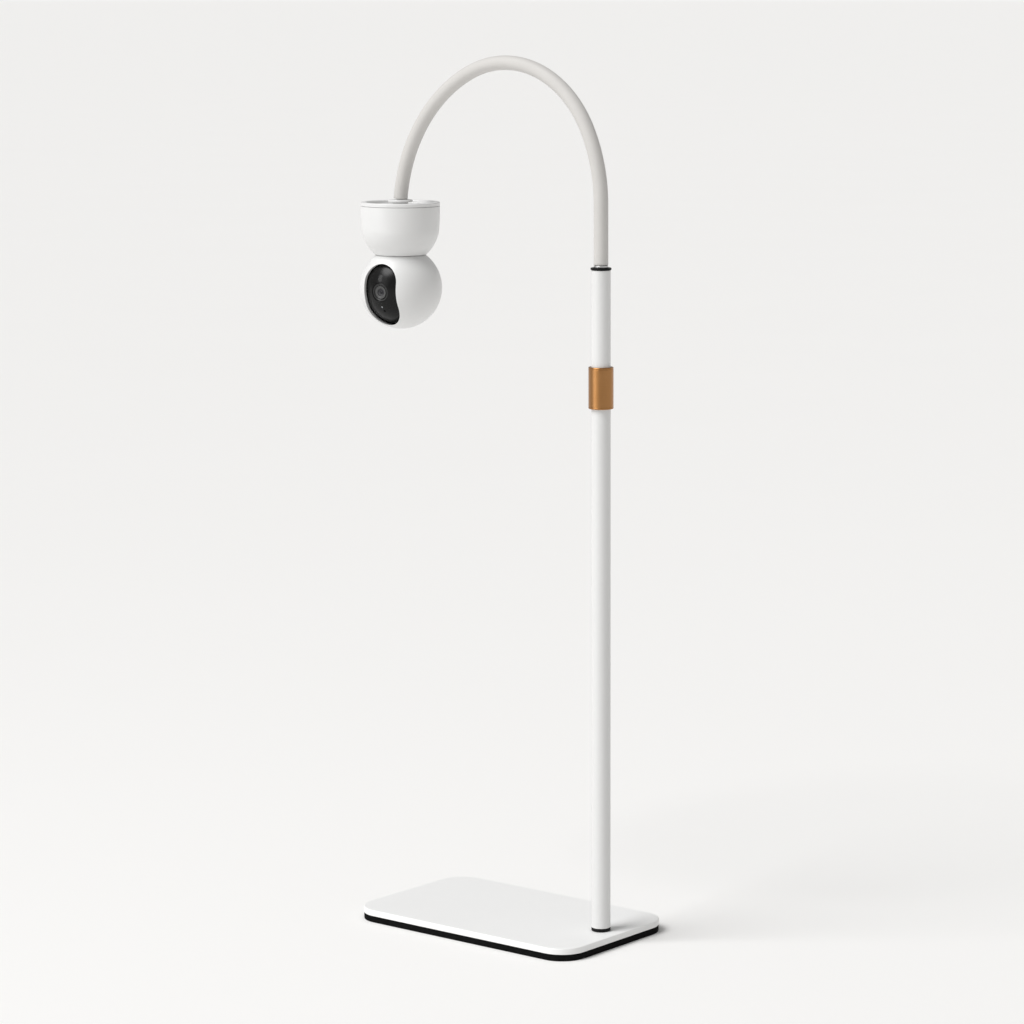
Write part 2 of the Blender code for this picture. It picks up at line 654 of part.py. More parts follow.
def camera_base(axis):
    outside = cup_outside()
    lip_radius, lip = outside[-1]
    shell = math.sqrt(BALL_RADIUS ** 2 - lip ** 2) + CLEARANCE
    inside = [(cup_inside_radius(height), height) for _, height in outside[1:-1]][::-1]
    cup = turned("cup", outside + [(max(shell, lip_radius - SHELL_WALL), lip)] + inside
                 + [(RIM_RADIUS - SHELL_WALL, COVER_BOTTOM - GAP)], WHITE_PLASTIC, sides=28,
                 parent=axis)
    inlet_low = BOARD_HEIGHT + BOARD_THICKNESS + GAP
    inlet_back = cup_inside_radius(inlet_low) - GAP
    boolean(cup, block("inlet_opening",
                       (-INLET_WIDTH / 2 - GAP, inlet_back - INLET_DEPTH / 2, inlet_low - GAP),
                       (INLET_WIDTH / 2 + GAP, RIM_RADIUS + MM, inlet_low + INLET_HEIGHT + GAP),
                       None, parent=axis))
    skirt_bottom = COVER_BOTTOM - SKIRT_DEPTH
    skirt = cup_inside_radius(skirt_bottom) - GAP
    cover = turned("base_cover", [
        (RIM_RADIUS - RIM_EDGE, RIM_HEIGHT),
        (RIM_RADIUS - 0.3 * RIM_EDGE, RIM_HEIGHT - 0.3 * RIM_EDGE),
        (RIM_RADIUS, RIM_HEIGHT - RIM_EDGE), (RIM_RADIUS, COVER_BOTTOM), (skirt, COVER_BOTTOM),
        (skirt, skirt_bottom), (skirt - SHELL_WALL, skirt_bottom),
        (skirt - SHELL_WALL, COVER_UNDERSIDE), (BOSS_RADIUS, COVER_UNDERSIDE),
        (BOSS_RADIUS, RECESS_FLOOR - INSERT_LENGTH),
        (INSERT_RADIUS + GAP, RECESS_FLOOR - INSERT_LENGTH),
        (INSERT_RADIUS + GAP, RECESS_FLOOR), (RECESS_RADIUS, RECESS_FLOOR),
        (RECESS_RADIUS, RIM_HEIGHT)], WHITE_PLASTIC, sides=28, parent=axis)
    ring("thread_insert", STUD_RADIUS + GAP, INSERT_RADIUS, RECESS_FLOOR - INSERT_LENGTH,
         RECESS_FLOOR - GAP, BRASS, sides=20, parent=axis)
    for number in range(1, COVER_SCREWS + 1):
        turn = 30 + 360 * number / COVER_SCREWS
        angle = math.radians(turn)
        at = (COVER_SCREW_CIRCLE * math.cos(angle), COVER_SCREW_CIRCLE * math.sin(angle), 0)
        foot = RECESS_FLOOR - SCREW_LENGTH - 2 * MM
        boolean(cup, rod(f"cup_post_{number}", POST_RADIUS, foot, COVER_UNDERSIDE - GAP, None,
                         sides=14, at=at, parent=axis), "UNION")
        web = block(f"cup_web_{number}", (COVER_SCREW_CIRCLE, -MM, foot),
                    (cup_inside_radius(foot) + MM, MM, skirt_bottom - GAP), None,
                    turn=(0, 0, turn), parent=axis)
        boolean(cup, web, "UNION")
        screw(f"cover_screw_{number}", RECESS_FLOOR, SCREW_LENGTH, [cover, cup], at, parent=axis)
    for side in (-1, 1):
        slot = stadium(MOUNT_SLOT_WIDTH / 2, -MOUNT_SLOT_LENGTH / 2, MOUNT_SLOT_LENGTH / 2, 6)
        boolean(cover, flat(f"mount_slot_{side}", [slot], COVER_UNDERSIDE - MM, RIM_HEIGHT, None,
                            at=(side * MOUNT_SLOT_CIRCLE, 0, 0), parent=axis))
    button_at = (0, RESET_CIRCLE, 0)
    boolean(cover, rod("reset_hole", RESET_RADIUS + GAP, COVER_UNDERSIDE - MM, RIM_HEIGHT, None,
                       sides=16, at=button_at, parent=axis))
    reset_axis = empty("reset_axis", button_at, parent=axis)
    top = RECESS_FLOOR + RESET_PROUD
    flange_top = COVER_UNDERSIDE - GAP
    turned("reset_button", [
        (0, top), (RESET_RADIUS - GAP, top), (RESET_RADIUS, top - GAP), (RESET_RADIUS, flange_top),
        (RESET_RADIUS + 2 * GAP, flange_top), (RESET_RADIUS + 2 * GAP, top - RESET_LENGTH),
        (0, top - RESET_LENGTH)], WHITE_PLASTIC, sides=16, parent=reset_axis)
    rod("main_board", cup_inside_radius(BOARD_HEIGHT) - GAP, BOARD_HEIGHT,
        BOARD_HEIGHT + BOARD_THICKNESS, BOARD, sides=28, parent=axis)
    inlet = block("power_inlet", (-INLET_WIDTH / 2, inlet_back - INLET_DEPTH, inlet_low),
                  (INLET_WIDTH / 2, inlet_back, inlet_low + INLET_HEIGHT), STEEL, parent=axis)
    wall = 0.4 * MM
    boolean(inlet, block("inlet_mouth",
                         (-INLET_WIDTH / 2 + wall, inlet_back - INLET_DEPTH + wall, inlet_low + wall),
                         (INLET_WIDTH / 2 - wall, inlet_back + MM, inlet_low + INLET_HEIGHT - wall),
                         None, parent=axis))
    low = BOARD_HEIGHT + BOARD_THICKNESS + GAP
    high = low + SPEAKER_HEIGHT
    turned("speaker", [
        (0, high - MM), (0.7 * SPEAKER_RADIUS, high - MM), (0.8 * SPEAKER_RADIUS, high),
        (SPEAKER_RADIUS, high), (SPEAKER_RADIUS, low), (0, low)], BLACK_PLASTIC, sides=20,
        at=(0, -SPEAKER_OFFSET, 0), parent=axis)


def screw(name, surface, length, bodies, at, turn=(0, 0, 0), parent=None):
    """A screw whose head is let into a surface, and its holes in the bodies it holds together."""
    profile = [(0, surface), (SCREW_HEAD_RADIUS, surface),
               (SCREW_HEAD_RADIUS, surface - SCREW_HEAD_HEIGHT),
               (SCREW_RADIUS, surface - SCREW_HEAD_HEIGHT),
               (SCREW_RADIUS, surface - length), (0, surface - length)]
    where = {"at": at, "turn": turn, "parent": parent}
    turned(name, profile, STEEL, sides=14, **where)
    seat = surface - SCREW_HEAD_HEIGHT - GAP
    boolean(bodies[0], rod(f"{name}_head_hole", SCREW_HEAD_RADIUS + GAP, seat, surface + 3 * MM,
                           None, sides=14, **where))
    for body in bodies:
        boolean(body, rod(f"{name}_{body.name}_hole", SCREW_RADIUS + GAP,
                          surface - length - GAP, surface, None, sides=14, **where))


def mount(axis):
    """The stud and flange between the gooseneck and the camera."""
    flange_top = RIM_HEIGHT + FLANGE_ABOVE_RIM
    bore = STUD_RADIUS + GAP
    flange_low = flange_top - FLANGE_HEIGHT
    turned("mount_flange", [
        (FLANGE_RADIUS - 2 * GAP, flange_top), (FLANGE_RADIUS, flange_top - 2 * GAP),
        (FLANGE_RADIUS, flange_low), (FLANGE_NECK_RADIUS, flange_low),
        (FLANGE_NECK_RADIUS, RECESS_FLOOR + GAP), (bore, RECESS_FLOOR + GAP), (bore, flange_top)],
        WHITE_PLASTIC, parent=axis)
    rod("mount_stud", STUD_RADIUS, flange_top - STUD_IN_CAMERA, flange_top + STUD_IN_NECK, STEEL,
        sides=16, parent=axis)


# Pan drive

def pan_drive(base_axis, head_axis):
    angle = math.radians(PAN_MOTOR_BEARING)
    pinion_at = (PAN_CENTRES * math.cos(angle), PAN_CENTRES * math.sin(angle), 0)
    plate_top = PLATE_LEVEL + PAN_PLATE_THICKNESS
    plate = rod("pan_plate", cup_inside_radius(PLATE_LEVEL) - GAP, PLATE_LEVEL, plate_top,
                WHITE_PLASTIC, sides=28, parent=base_axis)
    boolean(plate, rod("bearing_hole", BEARING_RADIUS + GAP, PLATE_LEVEL - MM, plate_top + MM, None,
                       sides=24, parent=base_axis))
    boolean(plate, rod("pan_shaft_hole", MOTOR_SHAFT_RADIUS + CLEARANCE, PLATE_LEVEL - MM,
                       plate_top + MM, None, sides=12, at=pinion_at, parent=base_axis))
    ring("pan_bearing", HUB_RADIUS + GAP, BEARING_RADIUS, PLATE_LEVEL,
         PLATE_LEVEL + BEARING_HEIGHT, BRASS, parent=base_axis)
    hub_low = BALL_RADIUS + GAP
    flange_top = hub_low + HUB_FLANGE_HEIGHT
    shaft_top = flange_top + HUB_HEIGHT
    groove = HUB_RADIUS - CLIP_GROOVE
    clip_low = PLATE_LEVEL + BEARING_HEIGHT + 2 * GAP
    clip_high = clip_low + CLIP_HEIGHT
    turned("head_hub", [
        (HUB_RADIUS, shaft_top), (HUB_RADIUS, clip_high + GAP), (groove, clip_high + GAP),
        (groove, clip_low - GAP), (HUB_RADIUS, clip_low - GAP), (HUB_RADIUS, flange_top),
        (HUB_FLANGE_RADIUS, flange_top), (HUB_FLANGE_RADIUS, hub_low),
        (BALL_HOLE - GAP, hub_low), (BALL_HOLE - GAP, BALL_INSIDE + GAP),
        (HUB_BORE, BALL_INSIDE + GAP), (HUB_BORE, shaft_top)],
        WHITE_PLASTIC, parent=head_axis)
    ring("hub_clip", groove + GAP, CLIP_RADIUS, clip_low, clip_high, STEEL, sides=20,
         parent=head_axis)
    low, high = flange_top + GAP, flange_top + GAP + GEAR_THICKNESS
    teeth = gear_outline(PAN_TEETH, PAN_MODULE, PAN_MOTOR_BEARING - HEAD_TURN + 180 / PAN_TEETH)
    flat("pan_gear", [teeth, circle(HUB_RADIUS + GAP)], low, high, GEAR_PLASTIC, parent=head_axis)
    pinion_axis = empty("pan_pinion_axis", pinion_at, parent=base_axis)
    outline = gear_outline(PAN_PINION_TEETH, PAN_MODULE, PAN_MOTOR_BEARING + 180)
    pinion = flat("pan_pinion", [outline], low, high, GEAR_PLASTIC, parent=pinion_axis)
    boolean(pinion, rod("pan_shaft", MOTOR_SHAFT_RADIUS, low + MM, plate_top, None, sides=12,
                        parent=pinion_axis), "UNION")
    bottom, top = plate_top + GAP, plate_top + GAP + MOTOR_HEIGHT
    turned("pan_motor", [
        (0, top), (MOTOR_RADIUS - MM, top), (MOTOR_RADIUS, top - MM), (MOTOR_RADIUS, bottom),
        (0, bottom)], STEEL, sides=24, at=pinion_at, parent=base_axis)


# Head

def ball_shell(name, material, steps=14, sides=28, **where):
    """The hollow ball with its hole at the top, before it is cut."""
    def side(radius):
        start = math.asin(BALL_HOLE / radius)
        angles = [start + (math.pi - start) * i / steps for i in range(steps + 1)]
        return [(radius * math.sin(a) if a < math.pi else 0, radius * math.cos(a)) for a in angles]
    outer = side(BALL_RADIUS)
    inner = side(BALL_INSIDE)
    return turned(name, inner[::-1] + outer, material, sides=sides, **where)


def head(axis):
    shell = ball_shell("head_shell", WHITE_PLASTIC, parent=axis)
    reach = 1.2 * BALL_RADIUS
    window = stadium(WINDOW_HALF_WIDTH, WINDOW_BOTTOM, WINDOW_TOP)
    boolean(shell, flat("window_cutter", [window], 0.3 * BALL_RADIUS, reach, None,
                        turn=(90, 0, 0), parent=axis))
    boolean(shell, block("seam_cutter", (-reach, BACK_SEAM, -reach), (reach, reach, reach), None,
                         parent=axis))
    across = (0, 90, 0)
    for number, side in ((1, -1), (2, 1)):
        low, high = sorted((side * PIN_BOSS_START, side * (BALL_RADIUS - MM)))
        boolean(shell, rod(f"pin_boss_{number}", PIN_BOSS_RADIUS, low, high, None, sides=16,
                           turn=across, parent=axis), "UNION")
        low, high = sorted((side * PIN_START, side * (BALL_INSIDE - MM)))
        boolean(shell, rod(f"pin_bore_{number}", PIN_RADIUS + GAP, low, high, None, sides=14,
                           turn=across, parent=axis))
        rod(f"tilt_pin_{number}", PIN_RADIUS, low + GAP, high - GAP, STEEL, sides=14,
            turn=across, parent=axis)


def head_back(axis):
    """The rear cap, its screw, and the bracket with the tilt motor that the screw holds."""
    back = ball_shell("head_back", WHITE_PLASTIC, parent=axis)
    reach = 1.2 * BALL_RADIUS
    boolean(back, block("back_keeper", (-reach, BACK_SEAM + GAP, -reach), (reach, reach, reach),
                        None, parent=axis), "INTERSECT")
    motor_end = EYE_HALF_WIDTH - EYE_WALL - 2 * CLEARANCE
    motor_start = motor_end - TILT_MOTOR_LENGTH
    turned("tilt_motor", [
        (0, motor_end), (TILT_MOTOR_RADIUS, motor_end), (TILT_MOTOR_RADIUS, motor_start),
        (0, motor_start)], STEEL, sides=20, at=(0, TILT_CENTRES, 0), turn=(0, 90, 0), parent=axis)
    near = TILT_CENTRES + TILT_MOTOR_RADIUS + GAP
    far = near + BRACKET_THICKNESS
    bracket = block("tilt_bracket", (-BRACKET_OVERHANG, near, -BRACKET_HALF_HEIGHT),
                    (motor_start + 0.7 * TILT_MOTOR_LENGTH, far, BRACKET_HALF_HEIGHT), STEEL,
                    parent=axis)
    boolean(back, rod("bracket_post", POST_RADIUS, far + GAP, BALL_INSIDE + MM / 2, None, sides=14,
                      turn=(-90, 0, 0), parent=axis), "UNION")
    screw("head_screw", BALL_RADIUS, BALL_RADIUS - near, [back, bracket], (0, 0, 0),
          turn=(-90, 0, 0), parent=axis)


def tilt_pinion(axis):
    pinion_axis = empty("tilt_pinion_axis", (0, TILT_CENTRES, 0), parent=axis)
    outline = gear_outline(TILT_PINION_TEETH, TILT_MODULE, 180)
    low = EYE_HALF_WIDTH + GAP
    pinion = flat("tilt_pinion", [outline], low, low + TILT_GEAR_THICKNESS, GEAR_PLASTIC,
                  turn=SIDEWAYS, parent=pinion_axis)
    motor_end = EYE_HALF_WIDTH - EYE_WALL - 2 * CLEARANCE
    boolean(pinion, rod("tilt_shaft", MOTOR_SHAFT_RADIUS, motor_end + GAP, low + MM, None,
                        sides=12, turn=(0, 90, 0), parent=pinion_axis), "UNION")


# Eye

def globe(name, radius, material, steps, sides, parent):
    angles = [math.pi * i / steps for i in range(1, steps)]
    profile = [(radius * math.sin(angle), radius * math.cos(angle)) for angle in angles]
    return turned(name, [(0, radius)] + profile + [(0, -radius)], material, sides=sides,
                  parent=parent)


def eye(axis):
    inside = EYE_RADIUS - EYE_WALL
    inner_half = EYE_HALF_WIDTH - EYE_WALL
    reach = 1.2 * EYE_RADIUS
    face = globe("eye_face", EYE_RADIUS, BLACK_GLOSS, 14, 28, axis)
    boolean(face, block("eye_slab", (-EYE_HALF_WIDTH, -reach, -reach),
                        (EYE_HALF_WIDTH, EYE_BEHIND, reach), None, parent=axis), "INTERSECT")
    hollow = globe("eye_hollow", inside, None, 10, 20, axis)
    boolean(hollow, block("hollow_slab", (-inner_half, -reach, -reach), (inner_half, reach, reach),
                          None, parent=axis), "INTERSECT")
    boolean(face, hollow)
    forward = (90, 0, 0)
    boolean(face, rod("lens_hole", LENS_OPENING, 0, reach, None, sides=24, turn=forward,
                      parent=axis))
    boolean(face, rod("pin_hole", PIN_RADIUS + CLEARANCE, -reach, reach, None, sides=16,
                      turn=(0, 90, 0), parent=axis))
    light = (90 + LIGHT_DEGREES, 0, 0)
    boolean(face, rod("light_hole", LIGHT_RADIUS + GAP, inside - MM, reach, None, sides=12,
                      turn=light, parent=axis))
    boolean(face, rod("mic_hole", MIC_RADIUS, inside - MM, reach, None, sides=12,
                      at=(MIC_SIDE, 0, 0), turn=(90 + MIC_DEGREES, 0, 0), parent=axis))
    rod("status_light", LIGHT_RADIUS, inside + GAP, EYE_RADIUS - GAP / 2, GLASS, sides=12,
        turn=light, parent=axis)
    barrel_front = LENS_FRONT - LENS_THICKNESS - GAP
    barrel_back = barrel_front - BARREL_LENGTH
    bezel_front, bezel_back = LENS_FRONT + BEZEL_PROUD, barrel_front + GAP
    turned("lens_bezel", [
        (BEZEL_RADIUS - MM, bezel_front), (BEZEL_RADIUS, bezel_front - MM),
        (BEZEL_RADIUS, bezel_back), (LENS_RADIUS + GAP, bezel_back),
        (LENS_RADIUS + GAP, LENS_FRONT), (LENS_RADIUS + 2 * MM, LENS_FRONT + BEZEL_PROUD / 2)],
        BLACK_GLOSS, turn=forward, parent=axis)
    turned("lens_barrel", [
        (BARREL_RADIUS, barrel_front), (BARREL_RADIUS, barrel_back),
        (LENS_RADIUS - MM, barrel_back), (LENS_RADIUS - MM, barrel_front)], BLACK_PLASTIC,
        turn=forward, parent=axis)
    turned("lens_glass", [
        (0, LENS_FRONT), (0.5 * LENS_RADIUS, LENS_FRONT - 0.25 * MM), (LENS_RADIUS, LENS_FRONT - MM),
        (LENS_RADIUS, LENS_FRONT - LENS_THICKNESS), (0, LENS_FRONT - LENS_THICKNESS)], GLASS,
        turn=forward, parent=axis)
    half, front = SENSOR_SIDE / 2, GAP - barrel_back
    block("sensor_board", (-half, front, -half), (half, front + EYE_BOARD, half), BOARD,
          parent=axis)
    half = INFRARED_WIDTH / 2
    block("infrared_board", (-half, -INFRARED_DEPTH, INFRARED_BOTTOM),
          (half, EYE_BOARD - INFRARED_DEPTH, INFRARED_BOTTOM + INFRARED_HEIGHT), BOARD,
          parent=axis)
    outline = gear_outline(TILT_TEETH, TILT_MODULE, 180 / TILT_TEETH - EYE_DROP,
                           first=-TILT_GEAR_TOOTHED // 2, count=TILT_GEAR_TOOTHED)
    low = EYE_HALF_WIDTH + GAP
    flat("tilt_gear", [outline, circle(PIN_RADIUS + CLEARANCE, 16)], low,
         low + TILT_GEAR_THICKNESS, GEAR_PLASTIC, turn=SIDEWAYS, parent=axis)


base()
pole()
gooseneck()
lean = NECK_END_DIRECTION.x * SLEEVE_RADIUS / 2
camera_axis = empty("camera_axis", (NECK_END.x + lean, 0, BALL_HEIGHT))
head_axis = empty("head_axis", (0, 0, 0), turn=(0, 0, HEAD_TURN), parent=camera_axis)
eye_axis = empty("eye_axis", (0, 0, 0), turn=(EYE_DROP, 0, 0), parent=head_axis)
mount(camera_axis)
camera_base(camera_axis)
pan_drive(camera_axis, head_axis)
head(head_axis)
head_back(head_axis)
tilt_pinion(head_axis)
eye(eye_axis)
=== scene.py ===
"""Looks of the floor-stand camera: coated base and pole, copper collar, gooseneck, hanging camera."""

import json
import math

import bmesh
import bpy
from mathutils import Matrix, Vector


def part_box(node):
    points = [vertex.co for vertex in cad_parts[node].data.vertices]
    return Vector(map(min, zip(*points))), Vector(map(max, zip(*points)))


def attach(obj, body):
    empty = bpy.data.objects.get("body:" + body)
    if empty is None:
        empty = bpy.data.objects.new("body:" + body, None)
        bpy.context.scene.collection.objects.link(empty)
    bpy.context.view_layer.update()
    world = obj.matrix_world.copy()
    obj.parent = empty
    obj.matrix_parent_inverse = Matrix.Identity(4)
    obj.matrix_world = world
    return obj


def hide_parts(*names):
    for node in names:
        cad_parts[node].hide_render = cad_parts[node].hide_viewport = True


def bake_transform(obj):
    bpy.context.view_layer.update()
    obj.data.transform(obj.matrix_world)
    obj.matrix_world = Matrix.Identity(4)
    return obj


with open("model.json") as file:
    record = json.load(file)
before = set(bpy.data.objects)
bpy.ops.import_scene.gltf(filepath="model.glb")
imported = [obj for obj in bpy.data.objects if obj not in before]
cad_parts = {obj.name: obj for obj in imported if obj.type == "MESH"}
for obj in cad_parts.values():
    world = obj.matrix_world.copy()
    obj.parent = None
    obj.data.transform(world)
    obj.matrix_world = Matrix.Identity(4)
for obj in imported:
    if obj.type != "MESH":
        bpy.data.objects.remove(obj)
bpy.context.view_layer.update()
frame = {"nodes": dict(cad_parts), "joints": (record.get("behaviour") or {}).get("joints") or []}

MM = 0.001
JOINTS = {joint["name"]: joint for joint in frame["joints"]}

BASE_CORNER = 27.5 * MM
BOLT_HOLE = 4.3 * MM        # radius of what the bolt and the stud pass through
BOLT_POCKET = 8.2 * MM
TUBE_WALL = 1.2 * MM
SLEEVE_RADIUS = 7.15 * MM
SLEEVE_BORE = 5.6 * MM
CORE_RADIUS = 3.0 * MM
SCREW_HEAD = 2.6 * MM
SCREW_SHANK = 1.5 * MM
BEZEL_RADIUS = 9.3 * MM
LENS_RADIUS = 5.4 * MM
LENS_FRONT = 35.3 * MM      # from the tilt axis
LENS_THICKNESS = 2.0 * MM
EYE_HALF_WIDTH = 27 * MM
EYE_BEHIND = 6 * MM
LENS_OPENING = 9.6 * MM

# The camera's middle line and the middle of its ball
BALL = Vector(JOINTS["head_pan"]["pos_m"])
HEAD_TURN = math.degrees(math.atan2(-JOINTS["eye_tilt"]["axis"][1], -JOINTS["eye_tilt"]["axis"][0]))
EYE_DROP = 4.0
HEAD = Matrix.Translation(BALL) @ Matrix.Rotation(math.radians(HEAD_TURN), 4, "Z")
EYE = HEAD @ Matrix.Rotation(math.radians(EYE_DROP), 4, "X")
FORWARD = Matrix.Rotation(math.radians(90), 4, "X")      # turns a lathe's Z to the lens direction
BACKWARD = Matrix.Rotation(math.radians(-90), 4, "X")

BALL_RADIUS = 42 * MM
SHELL_INSIDE = 38.8 * MM
EYE_RADIUS = 38.0 * MM
EYE_INSIDE = 36.2 * MM
WINDOW_HALF_WIDTH = 19.5 * MM
WINDOW_TOP = 26.0 * MM
WINDOW_BOTTOM = -36.9 * MM
BACK_SEAM = 24 * MM
LIGHT_DEGREES = 24.0       # status light and microphone, below the lens
MIC_DEGREES = 31.0


# Shader expressions

class Value:
    """A shader socket that takes part in Python expressions."""

    def __init__(self, finish, socket):
        self.finish = finish
        self.socket = socket

    def _math(self, operation, first, second):
        return self.finish.node("ShaderNodeMath", {"operation": operation}, {0: first, 1: second})

    def __add__(self, other):
        return self._math("ADD", self, other)

    def __radd__(self, other):
        return self._math("ADD", other, self)

    def __sub__(self, other):
        return self._math("SUBTRACT", self, other)

    def __rsub__(self, other):
        return self._math("SUBTRACT", other, self)

    def __mul__(self, other):
        return self._math("MULTIPLY", self, other)

    def __rmul__(self, other):
        return self._math("MULTIPLY", other, self)

    def __gt__(self, other):
        return self._math("GREATER_THAN", self, other)

    def __lt__(self, other):
        return self._math("LESS_THAN", self, other)


class Finish:
    """A material whose Principled shader gets constants directly and expressions where it varies."""

    def __init__(self, name, colour, roughness, metallic=0.0, **constants):
        self.material = bpy.data.materials.new(name)
        self.material.use_nodes = True
        self.tree = self.material.node_tree
        self.shader = self.tree.nodes["Principled BSDF"]
        self.set("Base Color", (*colour, 1.0))
        self.set("Roughness", roughness)
        self.set("Metallic", metallic)
        for socket, value in constants.items():
            self.set(socket.replace("_", " "), value)

    def set(self, socket, value):
        if isinstance(value, Value):
            self.tree.links.new(value.socket, self.shader.inputs[socket])
        else:
            self.shader.inputs[socket].default_value = value

    def node(self, kind, settings=None, inputs=None, output=0):
        """A shader node of that type with its settings, then its socket values and links."""
        made = self.tree.nodes.new(kind)
        for key, value in (settings or {}).items():
            if key == "stops":
                ramp = made.color_ramp
                while len(ramp.elements) < len(value):
                    ramp.elements.new(0.5)
                for element, (place, colour) in zip(ramp.elements, value):
                    element.position = place
                    element.color = (*colour, 1.0)
            else:
                setattr(made, key, value)
        for key, value in (inputs or {}).items():
            if isinstance(value, Value):
                self.tree.links.new(value.socket, made.inputs[key])
            else:
                made.inputs[key].default_value = value
        return Value(self, made.outputs[output])

    def place(self, stretch=(1, 1, 1)):
        """Where on the piece, in metres, stretched along the axes."""
        at = self.node("ShaderNodeTexCoord", output="Object")
        if stretch == (1, 1, 1):
            return at
        return self.node("ShaderNodeVectorMath", {"operation": "MULTIPLY"}, {0: at, 1: stretch})

    def noise(self, scale, detail=2.0, rough=0.5, stretch=(1, 1, 1)):
        return self.node("ShaderNodeTexNoise", inputs={
            "Vector": self.place(stretch), "Scale": scale, "Detail": detail, "Roughness": rough})

    def cells(self, scale):
        return self.node("ShaderNodeTexVoronoi", {"feature": "F1"}, {
            "Vector": self.place(), "Scale": scale}, output="Distance")

    def blend(self, share, first, second):
        """A colour between two colours."""
        return self.node("ShaderNodeMix", {"data_type": "RGBA"}, {
            "Factor": share, 6: as_colour(first), 7: as_colour(second)}, output=2)

    def ramp(self, value, *stops):
        return self.node("ShaderNodeValToRGB", {"stops": stops}, {0: value})

    def bump(self, height, strength, distance):
        self.set("Normal", self.node("ShaderNodeBump", inputs={
            "Strength": strength, "Distance": distance, "Height": height}))


def as_colour(colour):
    return colour if isinstance(colour, Value) or len(colour) == 4 else (*colour, 1.0)


def grey(level):
    return (level, level, level)


# Finishes

def powder_coat(name, tone):
    made = Finish(name, grey(tone), 0.42)
    grain = made.noise(1400, 3.0)
    drift = made.noise(14, 2.0)
    low, high = (tone, tone, tone - 0.005), (tone + 0.03, tone + 0.03, tone + 0.025)
    made.set("Base Color", made.blend(drift * 0.6 + grain * 0.4, low, high))
    made.set("Roughness", 0.36 + grain * 0.16)
    made.bump(grain + made.noise(320, 2.0) * 0.8, 0.18, 0.0002)
    return made.material


def moulded_white():
    made = Finish("moulded_white", (0.76, 0.76, 0.755), 0.36, Coat_Weight=0.12, Coat_Roughness=0.25)
    grain = made.noise(2600, 2.0)
    drift = made.noise(30, 2.0)
    made.set("Base Color", made.blend(drift, (0.71, 0.71, 0.705), (0.74, 0.74, 0.735)))
    made.set("Roughness", 0.30 + grain * 0.14 + drift * 0.04)
    made.bump(grain, 0.10, 0.00008)
    return made.material


def black_rubber():
    made = Finish("black_rubber", grey(0.006), 0.8, Specular_IOR_Level=0.03)
    grain = made.noise(900, 4.0, 0.6)
    dust = made.noise(120, 5.0, 0.7)
    made.set("Base Color", made.blend(dust * dust, grey(0.004), grey(0.014)))
    made.set("Roughness", 0.62 + grain * 0.25)
    made.bump(grain, 0.35, 0.0003)
    return made.material


def black_moulding():
    made = Finish("black_moulding", grey(0.006), 0.45, Specular_IOR_Level=0.12)
    grain = made.noise(1800, 3.0)
    made.set("Base Color", made.blend(grain, grey(0.004), grey(0.009)))
    made.set("Roughness", 0.34 + grain * 0.2)
    made.bump(grain, 0.2, 0.0001)
    return made.material


def copper():
    made = Finish("brushed_copper", (0.80, 0.46, 0.22), 0.4, 1.0, Anisotropic=0.85,
                  Anisotropic_Rotation=0.25, Coat_Weight=0.35, Coat_Roughness=0.22)
    fine = made.noise(900, 3.0, 0.6, stretch=(0.06, 0.06, 6))
    broad = made.noise(60, 2.0)
    colour = made.blend(broad, (0.40, 0.19, 0.06), (0.48, 0.24, 0.085))
    made.set("Base Color", made.blend(fine * 0.35, colour, (0.30, 0.13, 0.035)))
    made.set("Roughness", 0.34 + fine * 0.12)
    made.bump(fine, 0.12, 0.0001)
    return made.material


def steel(name="bright_steel", tone=0.58):
    made = Finish(name, grey(tone), 0.3, 1.0)
    fine = made.noise(1200, 3.0, 0.6, stretch=(1, 1, 0.1))
    made.set("Base Color", made.blend(fine, grey(tone * 0.86), grey(tone * 1.1)))
    made.set("Roughness", 0.22 + fine * 0.2)
    made.bump(fine, 0.1, 0.0001)
    return made.material


def brass():
    made = Finish("turned_brass", (0.72, 0.52, 0.22), 0.3, 1.0)
    fine = made.noise(1500, 2.0, 0.5, stretch=(0.1, 0.1, 4))
    made.set("Base Color", made.blend(fine, (0.66, 0.47, 0.19), (0.78, 0.58, 0.27)))
    made.set("Roughness", 0.2 + fine * 0.2)
    made.bump(fine, 0.15, 0.0001)
    return made.material


def silicone():
    made = Finish("grey_silicone", (0.56, 0.54, 0.52), 0.62, Sheen_Weight=0.15, Sheen_Roughness=0.5)
    grain = made.noise(1100, 4.0, 0.6)
    drift = made.noise(22, 3.0)
    dust = made.noise(260, 5.0, 0.75)
    colour = made.blend(drift, (0.54, 0.525, 0.505), (0.60, 0.585, 0.565))
    made.set("Base Color", made.blend((dust > 0.66) * 0.2, colour, (0.70, 0.69, 0.68)))
    made.set("Roughness", 0.52 + grain * 0.2)
    made.bump(grain, 0.22, 0.0002)
    return made.material


def black_gloss():
    made = Finish("gloss_black_face", grey(0.006), 0.24, Specular_IOR_Level=0.18)
    smear = made.noise(60, 4.0, 0.6)
    speck = made.noise(1500, 2.0)
    made.set("Base Color", made.blend(speck, grey(0.004), grey(0.009)))
    made.set("Roughness", 0.20 + smear * smear * 0.2)
    made.bump(made.noise(240, 2.0), 0.02, 0.0001)
    return made.material


def satin_black():
    made = Finish("satin_black_metal", grey(0.012), 0.4, 0.0, Specular_IOR_Level=0.4)
    fine = made.noise(2200, 2.0)
    made.set("Base Color", made.blend(fine, grey(0.008), grey(0.018)))
    made.set("Roughness", 0.26 + fine * 0.2)
    made.bump(fine, 0.15, 0.00006)
    return made.material


